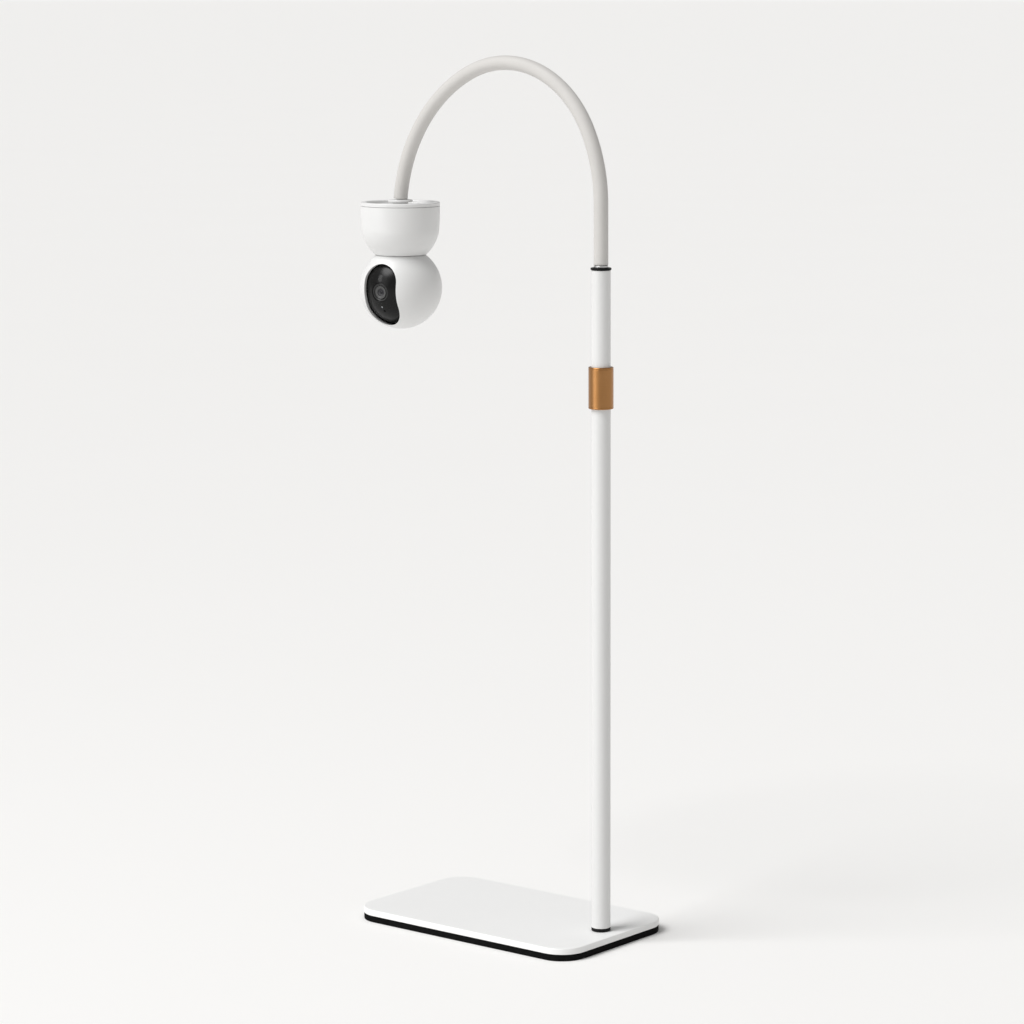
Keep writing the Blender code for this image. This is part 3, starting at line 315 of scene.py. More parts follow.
def lens_ring():
    made = Finish("grey_lens_ring", grey(0.075), 0.4, 0.3)
    fine = made.noise(2600, 2.0)
    made.set("Base Color", made.blend(fine, grey(0.055), grey(0.085)))
    made.set("Roughness", 0.34 + fine * 0.2)
    made.bump(fine, 0.1, 0.00005)
    return made.material


def coated_glass():
    made = Finish("coated_glass", grey(0.002), 0.03, Coat_Weight=0.4, Coat_Roughness=0.02,
                  Specular_IOR_Level=0.3)
    # Base colour turns purple towards grazing angles: a painted reflection of the lens coating.
    edge = made.node("ShaderNodeLayerWeight", inputs={"Blend": 0.35}, output="Facing")
    made.set("Base Color", made.blend(edge, (0.002, 0.002, 0.005), (0.008, 0.004, 0.014)))
    made.set("Roughness", 0.03 + made.noise(400, 3.0) * 0.03)
    return made.material


def clear_light():
    made = Finish("status_lens", (0.30, 0.31, 0.33), 0.2, Coat_Weight=0.5)
    made.set("Base Color", made.blend(made.noise(3000), (0.26, 0.27, 0.29), (0.34, 0.35, 0.37)))
    made.set("Emission Color", made.blend(made.noise(3000), (0.8, 0.85, 0.9), grey(1.0)))
    made.shader.inputs["Emission Strength"].default_value = 0.08
    return made.material


def bead_glass():
    made = Finish("bead_glass", grey(0.05), 0.12, Coat_Weight=0.6, Coat_Roughness=0.08)
    made.set("Base Color", made.blend(made.noise(900, 2.0), grey(0.03), grey(0.10)))
    made.set("Roughness", 0.10 + made.noise(1200, 2.0) * 0.1)
    return made.material


def circuit_board():
    made = Finish("circuit_board", (0.015, 0.13, 0.06), 0.4)
    tracks = made.node("ShaderNodeTexBrick", {"offset": 0.35}, {
        "Vector": made.place(), "Scale": 260.0, "Color1": (0, 0, 0, 1), "Color2": (0.25, 0.25, 0.25, 1),
        "Mortar": (1, 1, 1, 1), "Mortar Size": 0.05})
    pads = made.cells(420) < 0.16
    colour = made.blend(tracks, (0.012, 0.11, 0.05), (0.03, 0.22, 0.11))
    made.set("Base Color", made.blend(pads, colour, (0.75, 0.72, 0.6)))
    made.set("Metallic", pads * 0.9)
    made.set("Roughness", 0.42 - pads * 0.15)
    made.bump(tracks + pads, 0.3, 0.0001)
    return made.material


def gear_plastic():
    made = Finish("gear_plastic", (0.78, 0.75, 0.66), 0.42)
    grain = made.noise(1700, 3.0)
    made.set("Base Color", made.blend(grain, (0.74, 0.71, 0.62), (0.82, 0.80, 0.72)))
    made.set("Roughness", 0.36 + grain * 0.18)
    made.bump(grain, 0.15, 0.0001)
    return made.material


def floor_paint():
    made = Finish("studio_floor", grey(0.9), 0.9, Specular_IOR_Level=0.1)
    # Faces that stand up are painted darker than the level floor: painted shade that evens out the stronger
    # sun falling on the upright wall.
    upright = 1 - made.node("ShaderNodeSeparateXYZ", inputs={
        0: made.node("ShaderNodeNewGeometry", output="Normal")}, output=2)
    level = made.blend(made.noise(1.5, 3.0), (0.890, 0.884, 0.874), (0.900, 0.894, 0.884))
    made.set("Base Color", made.blend(made.ramp(upright, (0.0, grey(0.0)), (0.3, grey(1.0))), level,
                                      (0.62, 0.615, 0.61)))
    return made.material


POWDER = powder_coat("white_powder_coat", 0.70)
# The plate gets a lighter copy of the pole's white coat: painted light for its brightly lit top.
PLATE_POWDER_PAINTED_LIGHTER = powder_coat("plate_powder_coat_painted_lighter", 0.85)
WHITE = moulded_white()
RUBBER = black_rubber()
BLACK = black_moulding()
COPPER = copper()
STEEL = steel()
WOUND_STEEL = steel("wound_steel", 0.42)
BRASS = brass()
SILICONE = silicone()
GLOSS = black_gloss()
SATIN_BLACK = satin_black()
LENS_RING = lens_ring()
GLASS = coated_glass()
LIGHT = clear_light()
BEADS = bead_glass()
BOARD = circuit_board()
GEAR = gear_plastic()


# Making pieces

def rounded(corners, steps=5, closed=True):
    """A profile through (radius, height, rounding) corners, with arcs and a point beside each."""
    points = []
    count = len(corners)
    for i, (r, z, size) in enumerate(corners):
        here = Vector((r, z))
        if not size or (not closed and i in (0, count - 1)):
            points.append(here)
            continue
        before = Vector(corners[i - 1][:2]) - here
        after = Vector(corners[(i + 1) % count][:2]) - here
        turn = before.angle(after)
        reach = size / math.tan(turn / 2)
        first, last = here + before.normalized() * reach, here + after.normalized() * reach
        centre = here + (before.normalized() + after.normalized()).normalized() * size / math.sin(turn / 2)
        spread = (first - centre).angle_signed(last - centre)
        points.append(first + before.normalized() * 0.3 * size)
        for k in range(steps + 1):
            points.append(centre + Matrix.Rotation(-spread * k / steps, 2) @ (first - centre))
        points.append(last + after.normalized() * 0.3 * size)
    return [(max(0.0, point.x), point.y) for point in points]


def finished(name, mesh, material, sharp=32):
    """An object of a mesh, smooth but for edges sharper than that many degrees."""
    mesh.validate()
    mesh.shade_smooth()
    mesh.set_sharp_from_angle(angle=math.radians(sharp))
    made = bpy.data.objects.new(name, mesh)
    bpy.context.scene.collection.objects.link(made)
    mesh.materials.append(material)
    return made


def skin(name, loops, closed, caps=False):
    """A mesh of quads over loops of points of equal length; a loop of one point is a pole."""
    shape = bmesh.new()
    rows = [[shape.verts.new(point) for point in loop] for loop in loops]
    pairs = list(zip(rows, rows[1:])) + ([(rows[-1], rows[0])] if closed else [])
    for above, below in pairs:
        count = max(len(above), len(below))
        for i in range(count):
            j = (i + 1) % count
            corners = [above[i % len(above)], above[j % len(above)],
                       below[j % len(below)], below[i % len(below)]]
            unique = list(dict.fromkeys(corners))
            if len(unique) > 2:
                shape.faces.new(unique)
    if caps:
        shape.faces.new(rows[0])
        shape.faces.new(rows[-1][::-1])
    bmesh.ops.recalc_face_normals(shape, faces=shape.faces)
    mesh = bpy.data.meshes.new(name)
    shape.to_mesh(mesh)
    shape.free()
    return mesh


def turned(name, profile, material, matrix=Matrix(), sides=96, closed=True, sharp=32):
    """A lathe-turned piece: (radius, height) points turned about Z, then put in place."""
    loops = []
    for r, z in profile:
        if r < 1e-7:
            loops.append([matrix @ Vector((0, 0, z))])
        else:
            loops.append([matrix @ Vector((r * math.cos(a), r * math.sin(a), z))
                          for a in (math.tau * i / sides for i in range(sides))])
    return finished(name, skin(name, loops, closed), material, sharp)


def baked(piece):
    """Makes a piece's modifiers part of its mesh."""
    bpy.context.view_layer.update()
    mesh = bpy.data.meshes.new_from_object(piece.evaluated_get(bpy.context.evaluated_depsgraph_get()))
    piece.modifiers.clear()
    piece.data = mesh
    return piece


def cut(piece, *tools, operation="DIFFERENCE"):
    """Cuts a piece with tools, which are then removed."""
    for tool in tools:
        step = piece.modifiers.new("cut", "BOOLEAN")
        step.operation = operation
        step.solver = "EXACT"
        step.object = tool
    baked(piece)
    for tool in tools:
        bpy.data.objects.remove(tool, do_unlink=True)
    return piece


def prism(outline, low, high, matrix=Matrix()):
    """A cutter or block: a flat outline made thick along its Z."""
    loops = [[matrix @ Vector((x, y, z)) for x, y in outline] for z in (low, high)]
    return finished("tool", skin("tool", loops, False, caps=True), WHITE)


def circle(radius, count=48, centre=(0, 0)):
    """The outline of a disc."""
    return [(centre[0] + radius * math.cos(math.tau * i / count),
             centre[1] + radius * math.sin(math.tau * i / count)) for i in range(count)]


def rectangle(half_x, half_y, corner, steps=8):
    """The outline of a rectangle with rounded corners."""
    points = []
    for quarter, (sx, sy) in enumerate(((1, 1), (-1, 1), (-1, -1), (1, -1))):
        for k in range(steps + 1):
            angle = math.radians(90 * quarter + 90 * k / steps)
            points.append((sx * (half_x - corner) + corner * math.cos(angle),
                           sy * (half_y - corner) + corner * math.sin(angle)))
    return points


def slab(name, half_x, half_y, corner, sides, material):
    """A plate with rounded corners; sides are (inset, height) points of its edge from bottom to top."""
    loops = []
    for inset, z in sides:
        outline = rectangle(half_x - inset, half_y - inset, corner - inset, 14)
        loops.append([Vector((x, y, z)) for x, y in outline])
    return finished(name, skin(name, loops, False, caps=True), material, 40)


def true_normals(piece, normal_at):
    """Gives a cut piece the smooth normals of its ideal surface wherever normal_at knows one."""
    mesh = piece.data
    mesh.update()
    normals = []
    corner_normals = [Vector(corner.vector) for corner in mesh.corner_normals]
    for face in mesh.polygons:
        for index in face.loop_indices:
            found = normal_at(mesh.vertices[mesh.loops[index].vertex_index].co, face.normal)
            normals.append(found if found is not None else corner_normals[index])
    mesh.normals_split_custom_set(normals)
    return piece


def true_flats(piece):
    """Makes level faces shade dead flat next to their rounded edges."""
    return true_normals(piece, lambda point, face: face.copy() if abs(face.z) > 0.9999 else None)


def show(piece, body, slot, *nodes):
    """Puts a piece on its body, in place of the solids that it stands for."""
    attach(piece, body)
    if nodes:
        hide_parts(*nodes)
    return piece


def middle_of(node):
    low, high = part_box(node)
    return (low + high) / 2


def cross_recess(depth, width, length, matrix):
    """Cutters of a cross-head screw's recess."""
    half, wide = length / 2, width / 2
    along = [(-half, -wide), (half, -wide), (half, wide), (-half, wide)]
    across = [(-wide, -half), (wide, -half), (wide, half), (-wide, half)]
    return [prism(outline, depth, depth + 3 * MM, matrix) for outline in (along, across)]


# Base

def base():
    low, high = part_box("base_plate")
    half_x, half_y = high.x, high.y
    pole = middle_of("lower_tube")
    at_pole = Matrix.Translation((pole.x, pole.y, 0))
    r = 1.1 * MM
    edge = [(0.35 * MM + 1.2 * MM, low.z), (0.35 * MM, low.z), (0.0, low.z + 0.35 * MM),
            (0.0, low.z + 0.7 * MM), (0.0, high.z - 1.35 * r)]
    for k in range(8):
        angle = math.radians(90 * k / 7)
        edge.append((r * (1 - math.cos(angle)), high.z - r + r * math.sin(angle)))
    edge.append((1.35 * r, high.z))
    plate = slab("base_plate_coated", half_x, half_y, BASE_CORNER, edge, PLATE_POWDER_PAINTED_LIGHTER)
    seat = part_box("pole_bolt")[0].z + 2.9 * MM
    cut(plate, prism(circle(BOLT_POCKET), low.z - MM, seat, at_pole),
        prism(circle(BOLT_HOLE), low.z, high.z + MM, at_pole))
    show(true_flats(plate), "stand", "white_paint", "base_plate")
    low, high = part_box("base_pad")
    inset = 0.3 * MM
    sides = [(2.0 * MM, low.z), (1.2 * MM, low.z), (0.75 * MM, low.z + 0.08 * MM),
             (inset + 0.14 * MM, low.z + 0.35 * MM), (inset + 0.03 * MM, low.z + 0.7 * MM),
             (inset, low.z + 1.2 * MM), (inset, high.z - 1.4 * MM), (inset, high.z - 0.8 * MM),
             (inset + 0.12 * MM, high.z - 0.35 * MM), (inset + 0.5 * MM, high.z),
             (inset + 1.5 * MM, high.z)]
    pad = slab("base_pad_moulded", half_x, half_y, BASE_CORNER, sides, RUBBER)
    cut(pad, prism(circle(BOLT_POCKET), low.z - MM, high.z + MM, at_pole))
    show(true_flats(pad), "stand", "rubber_pad", "base_pad")


# Pole

def pole():
    at = Matrix.Translation((middle_of("lower_tube").x, 0, 0))
    for node in ("lower_tube", "upper_tube"):
        low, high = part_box(node)
        outer = (high.x - low.x) / 2
        inner, size = outer - TUBE_WALL, 0.35 * MM
        profile = rounded([(outer, high.z, size), (outer, low.z, size), (inner, low.z, size / 2),
                           (inner, high.z, size / 2)], 4)
        show(turned(f"{node}_coated", profile, POWDER, at), "stand", "white_paint", node)
    low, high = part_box("foot_ring")
    outer = (high.x - low.x) / 2
    profile = rounded([(outer, high.z, 0.5 * MM), (outer, low.z, 0.5 * MM),
                       (BOLT_HOLE, low.z, 0.1 * MM), (BOLT_HOLE, high.z, 0.1 * MM)])
    show(turned("foot_ring_moulded", profile, BLACK, at), "stand", "black_plastic", "foot_ring")
    low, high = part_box("collar")
    outer = (high.x - low.x) / 2
    lip, groove, inner = 1.7 * MM, 0.22 * MM, 9.8 * MM
    corners = [(outer, high.z, 0.8 * MM), (outer, high.z - lip, 0.08 * MM),
               (outer - groove, high.z - lip - groove, 0.05 * MM),
               (outer, high.z - lip - 2 * groove, 0.08 * MM),
               (outer, low.z + lip + 2 * groove, 0.08 * MM),
               (outer - groove, low.z + lip + groove, 0.05 * MM),
               (outer, low.z + lip, 0.08 * MM), (outer, low.z, 0.8 * MM),
               (inner, low.z, 0.3 * MM), (inner, high.z, 0.3 * MM)]
    collar = turned("collar_turned", rounded(corners), COPPER, at, sides=128)
    show(collar, "stand", "copper", "collar")
    low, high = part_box("top_ring")
    outer = (high.x - low.x) / 2
    step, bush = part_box("upper_tube")[1].z + 0.3 * MM, 8.0 * MM
    corners = [(outer, high.z, 0.9 * MM), (outer, step, 0.6 * MM), (bush, step, 0.05 * MM),
               (bush, low.z, 0.2 * MM), (BOLT_HOLE, low.z, 0.1 * MM), (BOLT_HOLE, high.z, 0.1 * MM)]
    show(turned("top_ring_moulded", rounded(corners), BLACK, at), "stand", "black_plastic", "top_ring")
    low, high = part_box("neck_ferrule")
    outer, floor, stud = (high.x - low.x) / 2, high.z - 1.8 * MM, 4.0 * MM
    corners = [(0, high.z, 0), (outer, high.z, 0.5 * MM), (outer, floor, 0.3 * MM),
               (stud, floor, 0.05 * MM), (stud, low.z, 0.4 * MM), (0, low.z, 0)]
    ferrule = turned("neck_ferrule_turned", rounded(corners, closed=False), STEEL, at, closed=False)
    show(ferrule, "stand", "steel", "neck_ferrule")


# Gooseneck

NECK_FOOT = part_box("neck_sleeve_1")[0].z
NECK_RUNS = [(58.8 * MM, 0.0)] + [(radius * math.radians(degrees), 1 / radius) for radius, degrees in (
    (162 * MM, 26.7), (114 * MM, 87.3), (160 * MM, 59.8))]
NECK_LENGTH = sum(length for length, _ in NECK_RUNS)


def neck_at(distance):
    """Place and direction of the gooseneck's middle line."""
    x, z, lean = middle_of("lower_tube").x, NECK_FOOT, 0.0
    for length, curvature in NECK_RUNS:
        step = min(distance, length)
        end = lean + curvature * step
        if curvature:
            x -= (math.cos(lean) - math.cos(end)) / curvature
            z += (math.sin(end) - math.sin(lean)) / curvature
        else:
            z += step
        lean = end
        distance -= step
        if distance <= 0:
            break
    return Vector((x, 0, z)), Vector((-math.sin(lean), 0, math.cos(lean)))


def neck_distance(point):
    """How far along the gooseneck its middle line passes nearest to a point."""
    tries = [NECK_LENGTH * i / 4760 for i in range(4761)]
    return min(tries, key=lambda s: (neck_at(s)[0] - Vector(point)).length_squared)


def neck_loop(distance, radius, sides):
    """A ring of points about the gooseneck's middle line."""
    centre, ahead = neck_at(distance)
    out = Vector((ahead.z, 0, -ahead.x))
    side = Vector((0, 1, 0))
    return [centre + out * radius * math.cos(a) + side * radius * math.sin(a)
            for a in (math.tau * i / sides for i in range(sides))]


def gooseneck():
    """A sleeve and a wound core over each bend, in place of the gooseneck's solids."""
    hinges = [JOINTS[name] for name in ("neck_bend_1", "neck_bend_2", "neck_side", "neck_bend_3",
                                        "neck_bend_4", "neck_bend_5")]
    at = [neck_distance(hinge["pos_m"]) for hinge in hinges]
    cuts = [0.0] + [(a + b) / 2 for a, b in zip(at, at[1:])] + [NECK_LENGTH]
    sides, end_round = 48, 0.35 * MM
    for number, hinge in enumerate(hinges, 1):
        here = at[number - 1]
        start, end = cuts[number - 1], cuts[number]
        first, last = number == 1, number == len(hinges)
        reach = min(here - start, end - here, 30 * MM)
        replaced = [number] + ([number + 1] if last else [])
        count = max(6, round((end - start) / (2.5 * MM)))
        rings = [start + (end - start) * i / count for i in range(count + 1)]
        loops = [neck_loop(s, SLEEVE_RADIUS, sides) for s in rings]
        loops += [neck_loop(s, SLEEVE_BORE, sides) for s in reversed(rings)]
        if first:
            loops.insert(1, neck_loop(0.4 * MM, SLEEVE_RADIUS, sides))
            loops[0] = neck_loop(0.0, SLEEVE_RADIUS - end_round, sides)
        if last:
            loops.insert(count, neck_loop(NECK_LENGTH - 0.4 * MM, SLEEVE_RADIUS, sides))
            loops[count + 1] = neck_loop(NECK_LENGTH, SLEEVE_RADIUS - end_round, sides)
        sleeve = finished(f"gooseneck_sleeve_{number}", skin("sleeve", loops, True), SILICONE, 50)
        core_end = end - 9 * MM if last else end
        turns = round((core_end - start) / (1.5 * MM))
        rings = [start + (core_end - start) * i / (2 * turns) for i in range(2 * turns + 1)]
        loops = [neck_loop(s, CORE_RADIUS - (0.25 * MM if i % 2 else 0), 16)
                 for i, s in enumerate(rings)]
        core = finished(f"gooseneck_core_{number}", skin("core", loops, False, caps=True),
                        WOUND_STEEL, 60)
        turn_start, turn_end = neck_at(here - reach)[0], neck_at(here + reach)[0]
        for piece, kind, slot in ((sleeve, "neck_sleeve", "silicone"), (core, "neck_core", "steel")):
            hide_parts(*[f"{kind}_{k}" for k in replaced])
            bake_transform(piece)


# Camera base

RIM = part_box("base_cover")[1].z
RIM_RADIUS = 40.4 * MM
CUP_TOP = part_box("cup")[1].z
CAMERA = Matrix.Translation((BALL.x, BALL.y, 0))


def cup_profile():
    """The cup's outer side from the seam to the lip, then its inner side."""
    knee_radius, knee = RIM_RADIUS - 1.0 * MM, CUP_TOP - 25.0 * MM
    start, end = math.radians(9.0), math.radians(47.5)
    bend = 42 * MM
    centre_r, centre_z = knee_radius - bend * math.cos(start), knee + bend * math.sin(start)
    outside = [(RIM_RADIUS - 0.5 * MM, CUP_TOP), (RIM_RADIUS - 0.15 * MM, CUP_TOP - 0.12 * MM),
               (RIM_RADIUS, CUP_TOP - 0.5 * MM), (RIM_RADIUS - 0.02 * MM, CUP_TOP - 1.0 * MM)]
    for i in range(1, 9):
        share = i / 9
        outside.append((RIM_RADIUS - 1.0 * MM * share ** 2, CUP_TOP - 1.0 * MM - 24.0 * MM * share))
    for i in range(25):
        angle = start + (end - start) * i / 24
        outside.append((centre_r + bend * math.cos(angle), centre_z - bend * math.sin(angle)))
    inside = [(r - 2.2 * MM, z) for r, z in outside[4:-3:2]][::-1]
    lip = outside[-1]
    lip_round = [(lip[0] - 0.15 * MM, lip[1] - 0.05 * MM), (lip[0] - 0.55 * MM, lip[1] + 0.05 * MM),
                 (lip[0] - 0.7 * MM, lip[1] + 0.6 * MM)]
    return outside + lip_round + inside + [(RIM_RADIUS - 2.2 * MM, CUP_TOP)]


def camera_base():
    cup = turned("cup_moulded", cup_profile(), WHITE, CAMERA, sides=144)
    low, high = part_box("power_inlet")
    half_x, half_z = (high.x - low.x) / 2, (high.z - low.z) / 2
    gap, wall = 0.3 * MM, 0.4 * MM
    slot = rectangle(half_x + gap, half_z + gap, 1.6 * MM)
    centre = (low + high) / 2
    to_back = Matrix.Translation((centre.x, 0, centre.z)) @ BACKWARD
    cut(cup, prism(slot, 33 * MM, 45 * MM, to_back))
    show(cup, "camera_base", "white_plastic", "cup")
    socket = prism(rectangle(half_x, half_z, 1.5 * MM), low.y, high.y, to_back)
    socket.name = "power_socket_shell"
    cut(socket, prism(rectangle(half_x - wall, half_z - wall, 1.1 * MM), low.y + wall, high.y + MM,
                      to_back))
    socket.data.materials.clear()
    socket.data.materials.append(STEEL)
    show(socket, "camera_base", "steel", "power_inlet")
    floor, under, seam = RIM - 3.0 * MM, RIM - 5.0 * MM, RIM - 3.8 * MM
    skirt, skirt_low = 37.7 * MM, seam - 4.0 * MM
    skirt_inside, boss, bore, recess = skirt - 2.0 * MM, 7.6 * MM, 5.9 * MM, 34.0 * MM
    boss_low = floor - 11 * MM
    corners = [(RIM_RADIUS, RIM, 1.1 * MM), (RIM_RADIUS, seam, 0.35 * MM), (skirt, seam, 0.05 * MM),
               (skirt, skirt_low, 0.2 * MM), (skirt_inside, skirt_low, 0.2 * MM),
               (skirt_inside, under, 0.3 * MM), (boss, under, 0.3 * MM), (boss, boss_low, 0.2 * MM),
               (bore, boss_low, 0.1 * MM), (bore, floor, 0.15 * MM), (recess, floor, 0.5 * MM),
               (recess, RIM, 1.4 * MM)]
    cover = turned("base_cover_moulded", rounded(corners), WHITE, CAMERA, sides=144)
    tools = []
    screws = [middle_of("cover_screw_1"), middle_of("cover_screw_2")]
    for at in screws:
        here = Matrix.Translation((at.x, at.y, 0))
        tools.append(prism(circle(2.9 * MM, 32), floor - 1.2 * MM, RIM + MM, here))
        tools.append(prism(circle(1.8 * MM, 24), under - MM, RIM, here))
    button = middle_of("reset_button")
    at_button = Matrix.Translation((button.x, button.y, 0))
    tools.append(prism(circle(1.9 * MM, 32), under - MM, RIM + MM, at_button))
    for side in (-1, 1):
        outline = rectangle(1.5 * MM, 4.5 * MM, 1.49 * MM, 6)
        there = Matrix.Translation((BALL.x + side * 21 * MM, BALL.y, 0))
        tools.append(prism(outline, under - MM, RIM + MM, there))
    cut(cover, *tools)
    show(true_flats(cover), "camera_base", "white_plastic", "base_cover")
    for number, at in enumerate(screws, 1):
        screw(f"cover_screw_{number}", Matrix.Translation((at.x, at.y, floor)), 8 * MM, "camera_base")
    bottom, top = (corner.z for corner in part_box("reset_button"))
    under_top, stem, flange = under - 0.3 * MM, 1.6 * MM, 2.2 * MM
    corners = [(0, top, 0), (stem, top, 0.4 * MM), (stem, under_top, 0.05 * MM),
               (flange, under_top, 0.1 * MM), (flange, bottom, 0.2 * MM), (0, bottom, 0)]
    key = turned("reset_key", rounded(corners, closed=False), WHITE, at_button, sides=48, closed=False)
    show(key, "reset", "white_plastic", "reset_button")
    low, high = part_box("mount_flange")
    flange, spigot, bore = 12.5 * MM, 8.0 * MM, 3.4 * MM
    step = high.z - 2.3 * MM
    corners = [(flange, high.z, 0.9 * MM), (flange, step, 0.5 * MM), (spigot, step, 0.4 * MM),
               (spigot, low.z, 0.2 * MM), (bore, low.z, 0.1 * MM), (bore, high.z, 0.1 * MM)]
    flange_piece = turned("mount_flange_moulded", rounded(corners), WHITE, CAMERA)
    show(flange_piece, "camera_base", "white_plastic", "mount_flange")


def screw(name, at, length, body):
    """A cross-head screw with a slightly domed head, its top at the matrix's origin."""
    head, shank, tall = SCREW_HEAD, SCREW_SHANK, 0.9 * MM
    profile = [(0, 0), (0.5 * head, -0.03 * MM), (0.85 * head, -0.12 * MM), (0.97 * head, -0.25 * MM),
               (head, -0.45 * MM), (head, -tall), (shank, -tall)]
    turns = int((length - tall - MM) / (0.5 * MM))
    for i in range(turns):
        z = -tall - 0.4 * MM - i * 0.5 * MM
        profile += [(shank - 0.22 * MM, z), (shank, z - 0.25 * MM)]
    profile += [(shank - 0.3 * MM, -length + 0.4 * MM), (0.5 * MM, -length), (0, -length)]
    piece = turned(f"{name}_threaded", profile, STEEL, at, sides=36, closed=False)
    cut(piece, *cross_recess(-0.6 * MM, 0.55 * MM, 3.0 * MM, at))
    show(piece, body, "steel", name)


# Head

def window_loop(offset, count=192):
    """The window's outline grown by an offset, in the head's XZ, by angle about its middle."""
    half = WINDOW_HALF_WIDTH + offset
    top, bottom = WINDOW_TOP - WINDOW_HALF_WIDTH, WINDOW_BOTTOM + WINDOW_HALF_WIDTH
    middle = (top + bottom) / 2
    points = []
    for i in range(count):
        angle = math.tau * i / count
        ux, uz = math.cos(angle), math.sin(angle)
        end = top if uz >= 0 else bottom
        reach = half / abs(ux) if abs(ux) > 1e-9 else 1.0
        if abs(uz * reach) > abs(end - middle):
            shift = middle - end
            b = uz * shift
            reach = -b + math.sqrt(b * b - shift * shift + half * half)
        points.append((ux * reach, middle + uz * reach))
    return points


def on_ball(x, z, radius):
    """How far forward a ball's surface is."""
    return -math.sqrt(max(0.0, radius ** 2 - x * x - z * z))


def ball_rings(radius, outline, front_steps, seam_steps, back_to):
    """Loops from the window's outline round to the back seam, on a ball of that radius."""
    top, bottom = WINDOW_TOP - WINDOW_HALF_WIDTH, WINDOW_BOTTOM + WINDOW_HALF_WIDTH
    middle = (top + bottom) / 2
    count = len(outline)
    columns = []
    for i, (x, z) in enumerate(outline):
        angle = math.tau * i / count
        start = math.asin(min(1.0, math.hypot(x, z) / radius))
        columns.append((math.cos(angle), math.sin(angle), start))
    loops = []
    for k in range(front_steps + 1):
        loop = []
        for ux, uz, start in columns:
            polar = start + (math.pi / 2 - start) * k / front_steps
            across = radius * math.sin(polar)
            b = uz * middle
            reach = -b + math.sqrt(b * b - middle * middle + across * across)
            loop.append((ux * reach, -radius * math.cos(polar), middle + uz * reach))
        loops.append(loop)
    edge = loops[-1]
    last = math.pi / 2 + math.asin(back_to / radius)
    for k in range(1, seam_steps + 1):
        polar = math.pi / 2 + (last - math.pi / 2) * k / seam_steps
        share = math.sin(polar)
        loops.append([(x * share, -radius * math.cos(polar), z * share) for x, _, z in edge])
    return loops


def head():
    round_over = 0.55 * MM
    outer = ball_rings(BALL_RADIUS, window_loop(round_over), 30, 14, BACK_SEAM)
    inner = ball_rings(SHELL_INSIDE, window_loop(0.0), 14, 8, BACK_SEAM)
    wall = []
    for k in range(4):
        angle = math.radians(90 * k / 4)
        offset = round_over * (1 - math.cos(angle))
        radius = BALL_RADIUS - round_over * (1 - math.sin(angle))
        wall.append([(x, on_ball(x, z, radius), z) for x, z in window_loop(offset)])
    deep_radius = BALL_RADIUS - 2 * round_over
    deep = [[(x, on_ball(x, z, deep_radius), z) for x, z in window_loop(0.0)]]
    loops = [[HEAD @ Vector(point) for point in loop] for loop in inner[::-1] + deep + wall + outer]
    shell = finished("head_shell_moulded", skin("head_shell", loops, True), WHITE, 40)
    cut(shell, prism(circle(8.0 * MM), 35 * MM, 45 * MM, HEAD))
    boss_radius, boss_start, boss_end = 5.0 * MM, 30 * MM, 41 * MM
    for side in (-1, 1):
        to_side = HEAD @ Matrix.Rotation(math.radians(90 * side), 4, "Y")
        corners = [(0, boss_start, 0), (boss_radius, boss_start, 0.4 * MM), (boss_radius, boss_end, 0),
                   (0, boss_end, 0)]
        boss = turned("boss", rounded(corners, closed=False), WHITE, to_side, sides=48, closed=False)
        cut(shell, boss, operation="UNION")
        cut(shell, prism(circle(2.3 * MM, 32), 23 * MM, SHELL_INSIDE, to_side))
    true_normals(shell, ball_normal(BALL_RADIUS))
    show(shell, "head", "white_plastic", "head_shell")
    start = math.acos((BACK_SEAM + 0.3 * MM) / SHELL_INSIDE)
    profile = [(SHELL_INSIDE * math.sin(start * i / 12), SHELL_INSIDE * math.cos(start * i / 12))
               for i in range(13)]
    start = math.acos((BACK_SEAM + 0.3 * MM) / BALL_RADIUS)
    profile += [(BALL_RADIUS * math.sin(start * (1 - i / 24)), BALL_RADIUS * math.cos(start * (1 - i / 24)))
                for i in range(25)]
    profile[0], profile[-1] = (0, SHELL_INSIDE), (0, BALL_RADIUS)
    behind = HEAD @ BACKWARD
    back = turned("head_back_moulded", profile, WHITE, behind, sides=192, closed=False, sharp=40)
    near, far, radius = 30.1 * MM, SHELL_INSIDE + 0.5 * MM, 3.2 * MM
    post = turned("post", [(0, near), (radius, near), (radius, far), (0, far)], WHITE, behind, sides=48,
                  closed=False)
    cut(back, post, operation="UNION")
    cut(back, prism(circle(2.9 * MM, 48), BALL_RADIUS - 1.2 * MM, 50 * MM, behind),
        prism(circle(1.8 * MM, 32), near - MM, 50 * MM, behind))
    true_normals(back, ball_normal(BALL_RADIUS))
    show(back, "head", "white_plastic", "head_back")
    screw("head_screw", behind @ Matrix.Translation((0, 0, BALL_RADIUS)), 14.2 * MM, "head")


def ball_normal(radius):
    """Outward normals for the faces that lie on a ball about the camera's middle."""
    def normal_at(point, face_normal):
        out = point - BALL
        if abs(out.length - radius) < 0.00003 and out.normalized().dot(face_normal) > 0.97:
            return out.normalized()
        return None
    return normal_at


# Eye

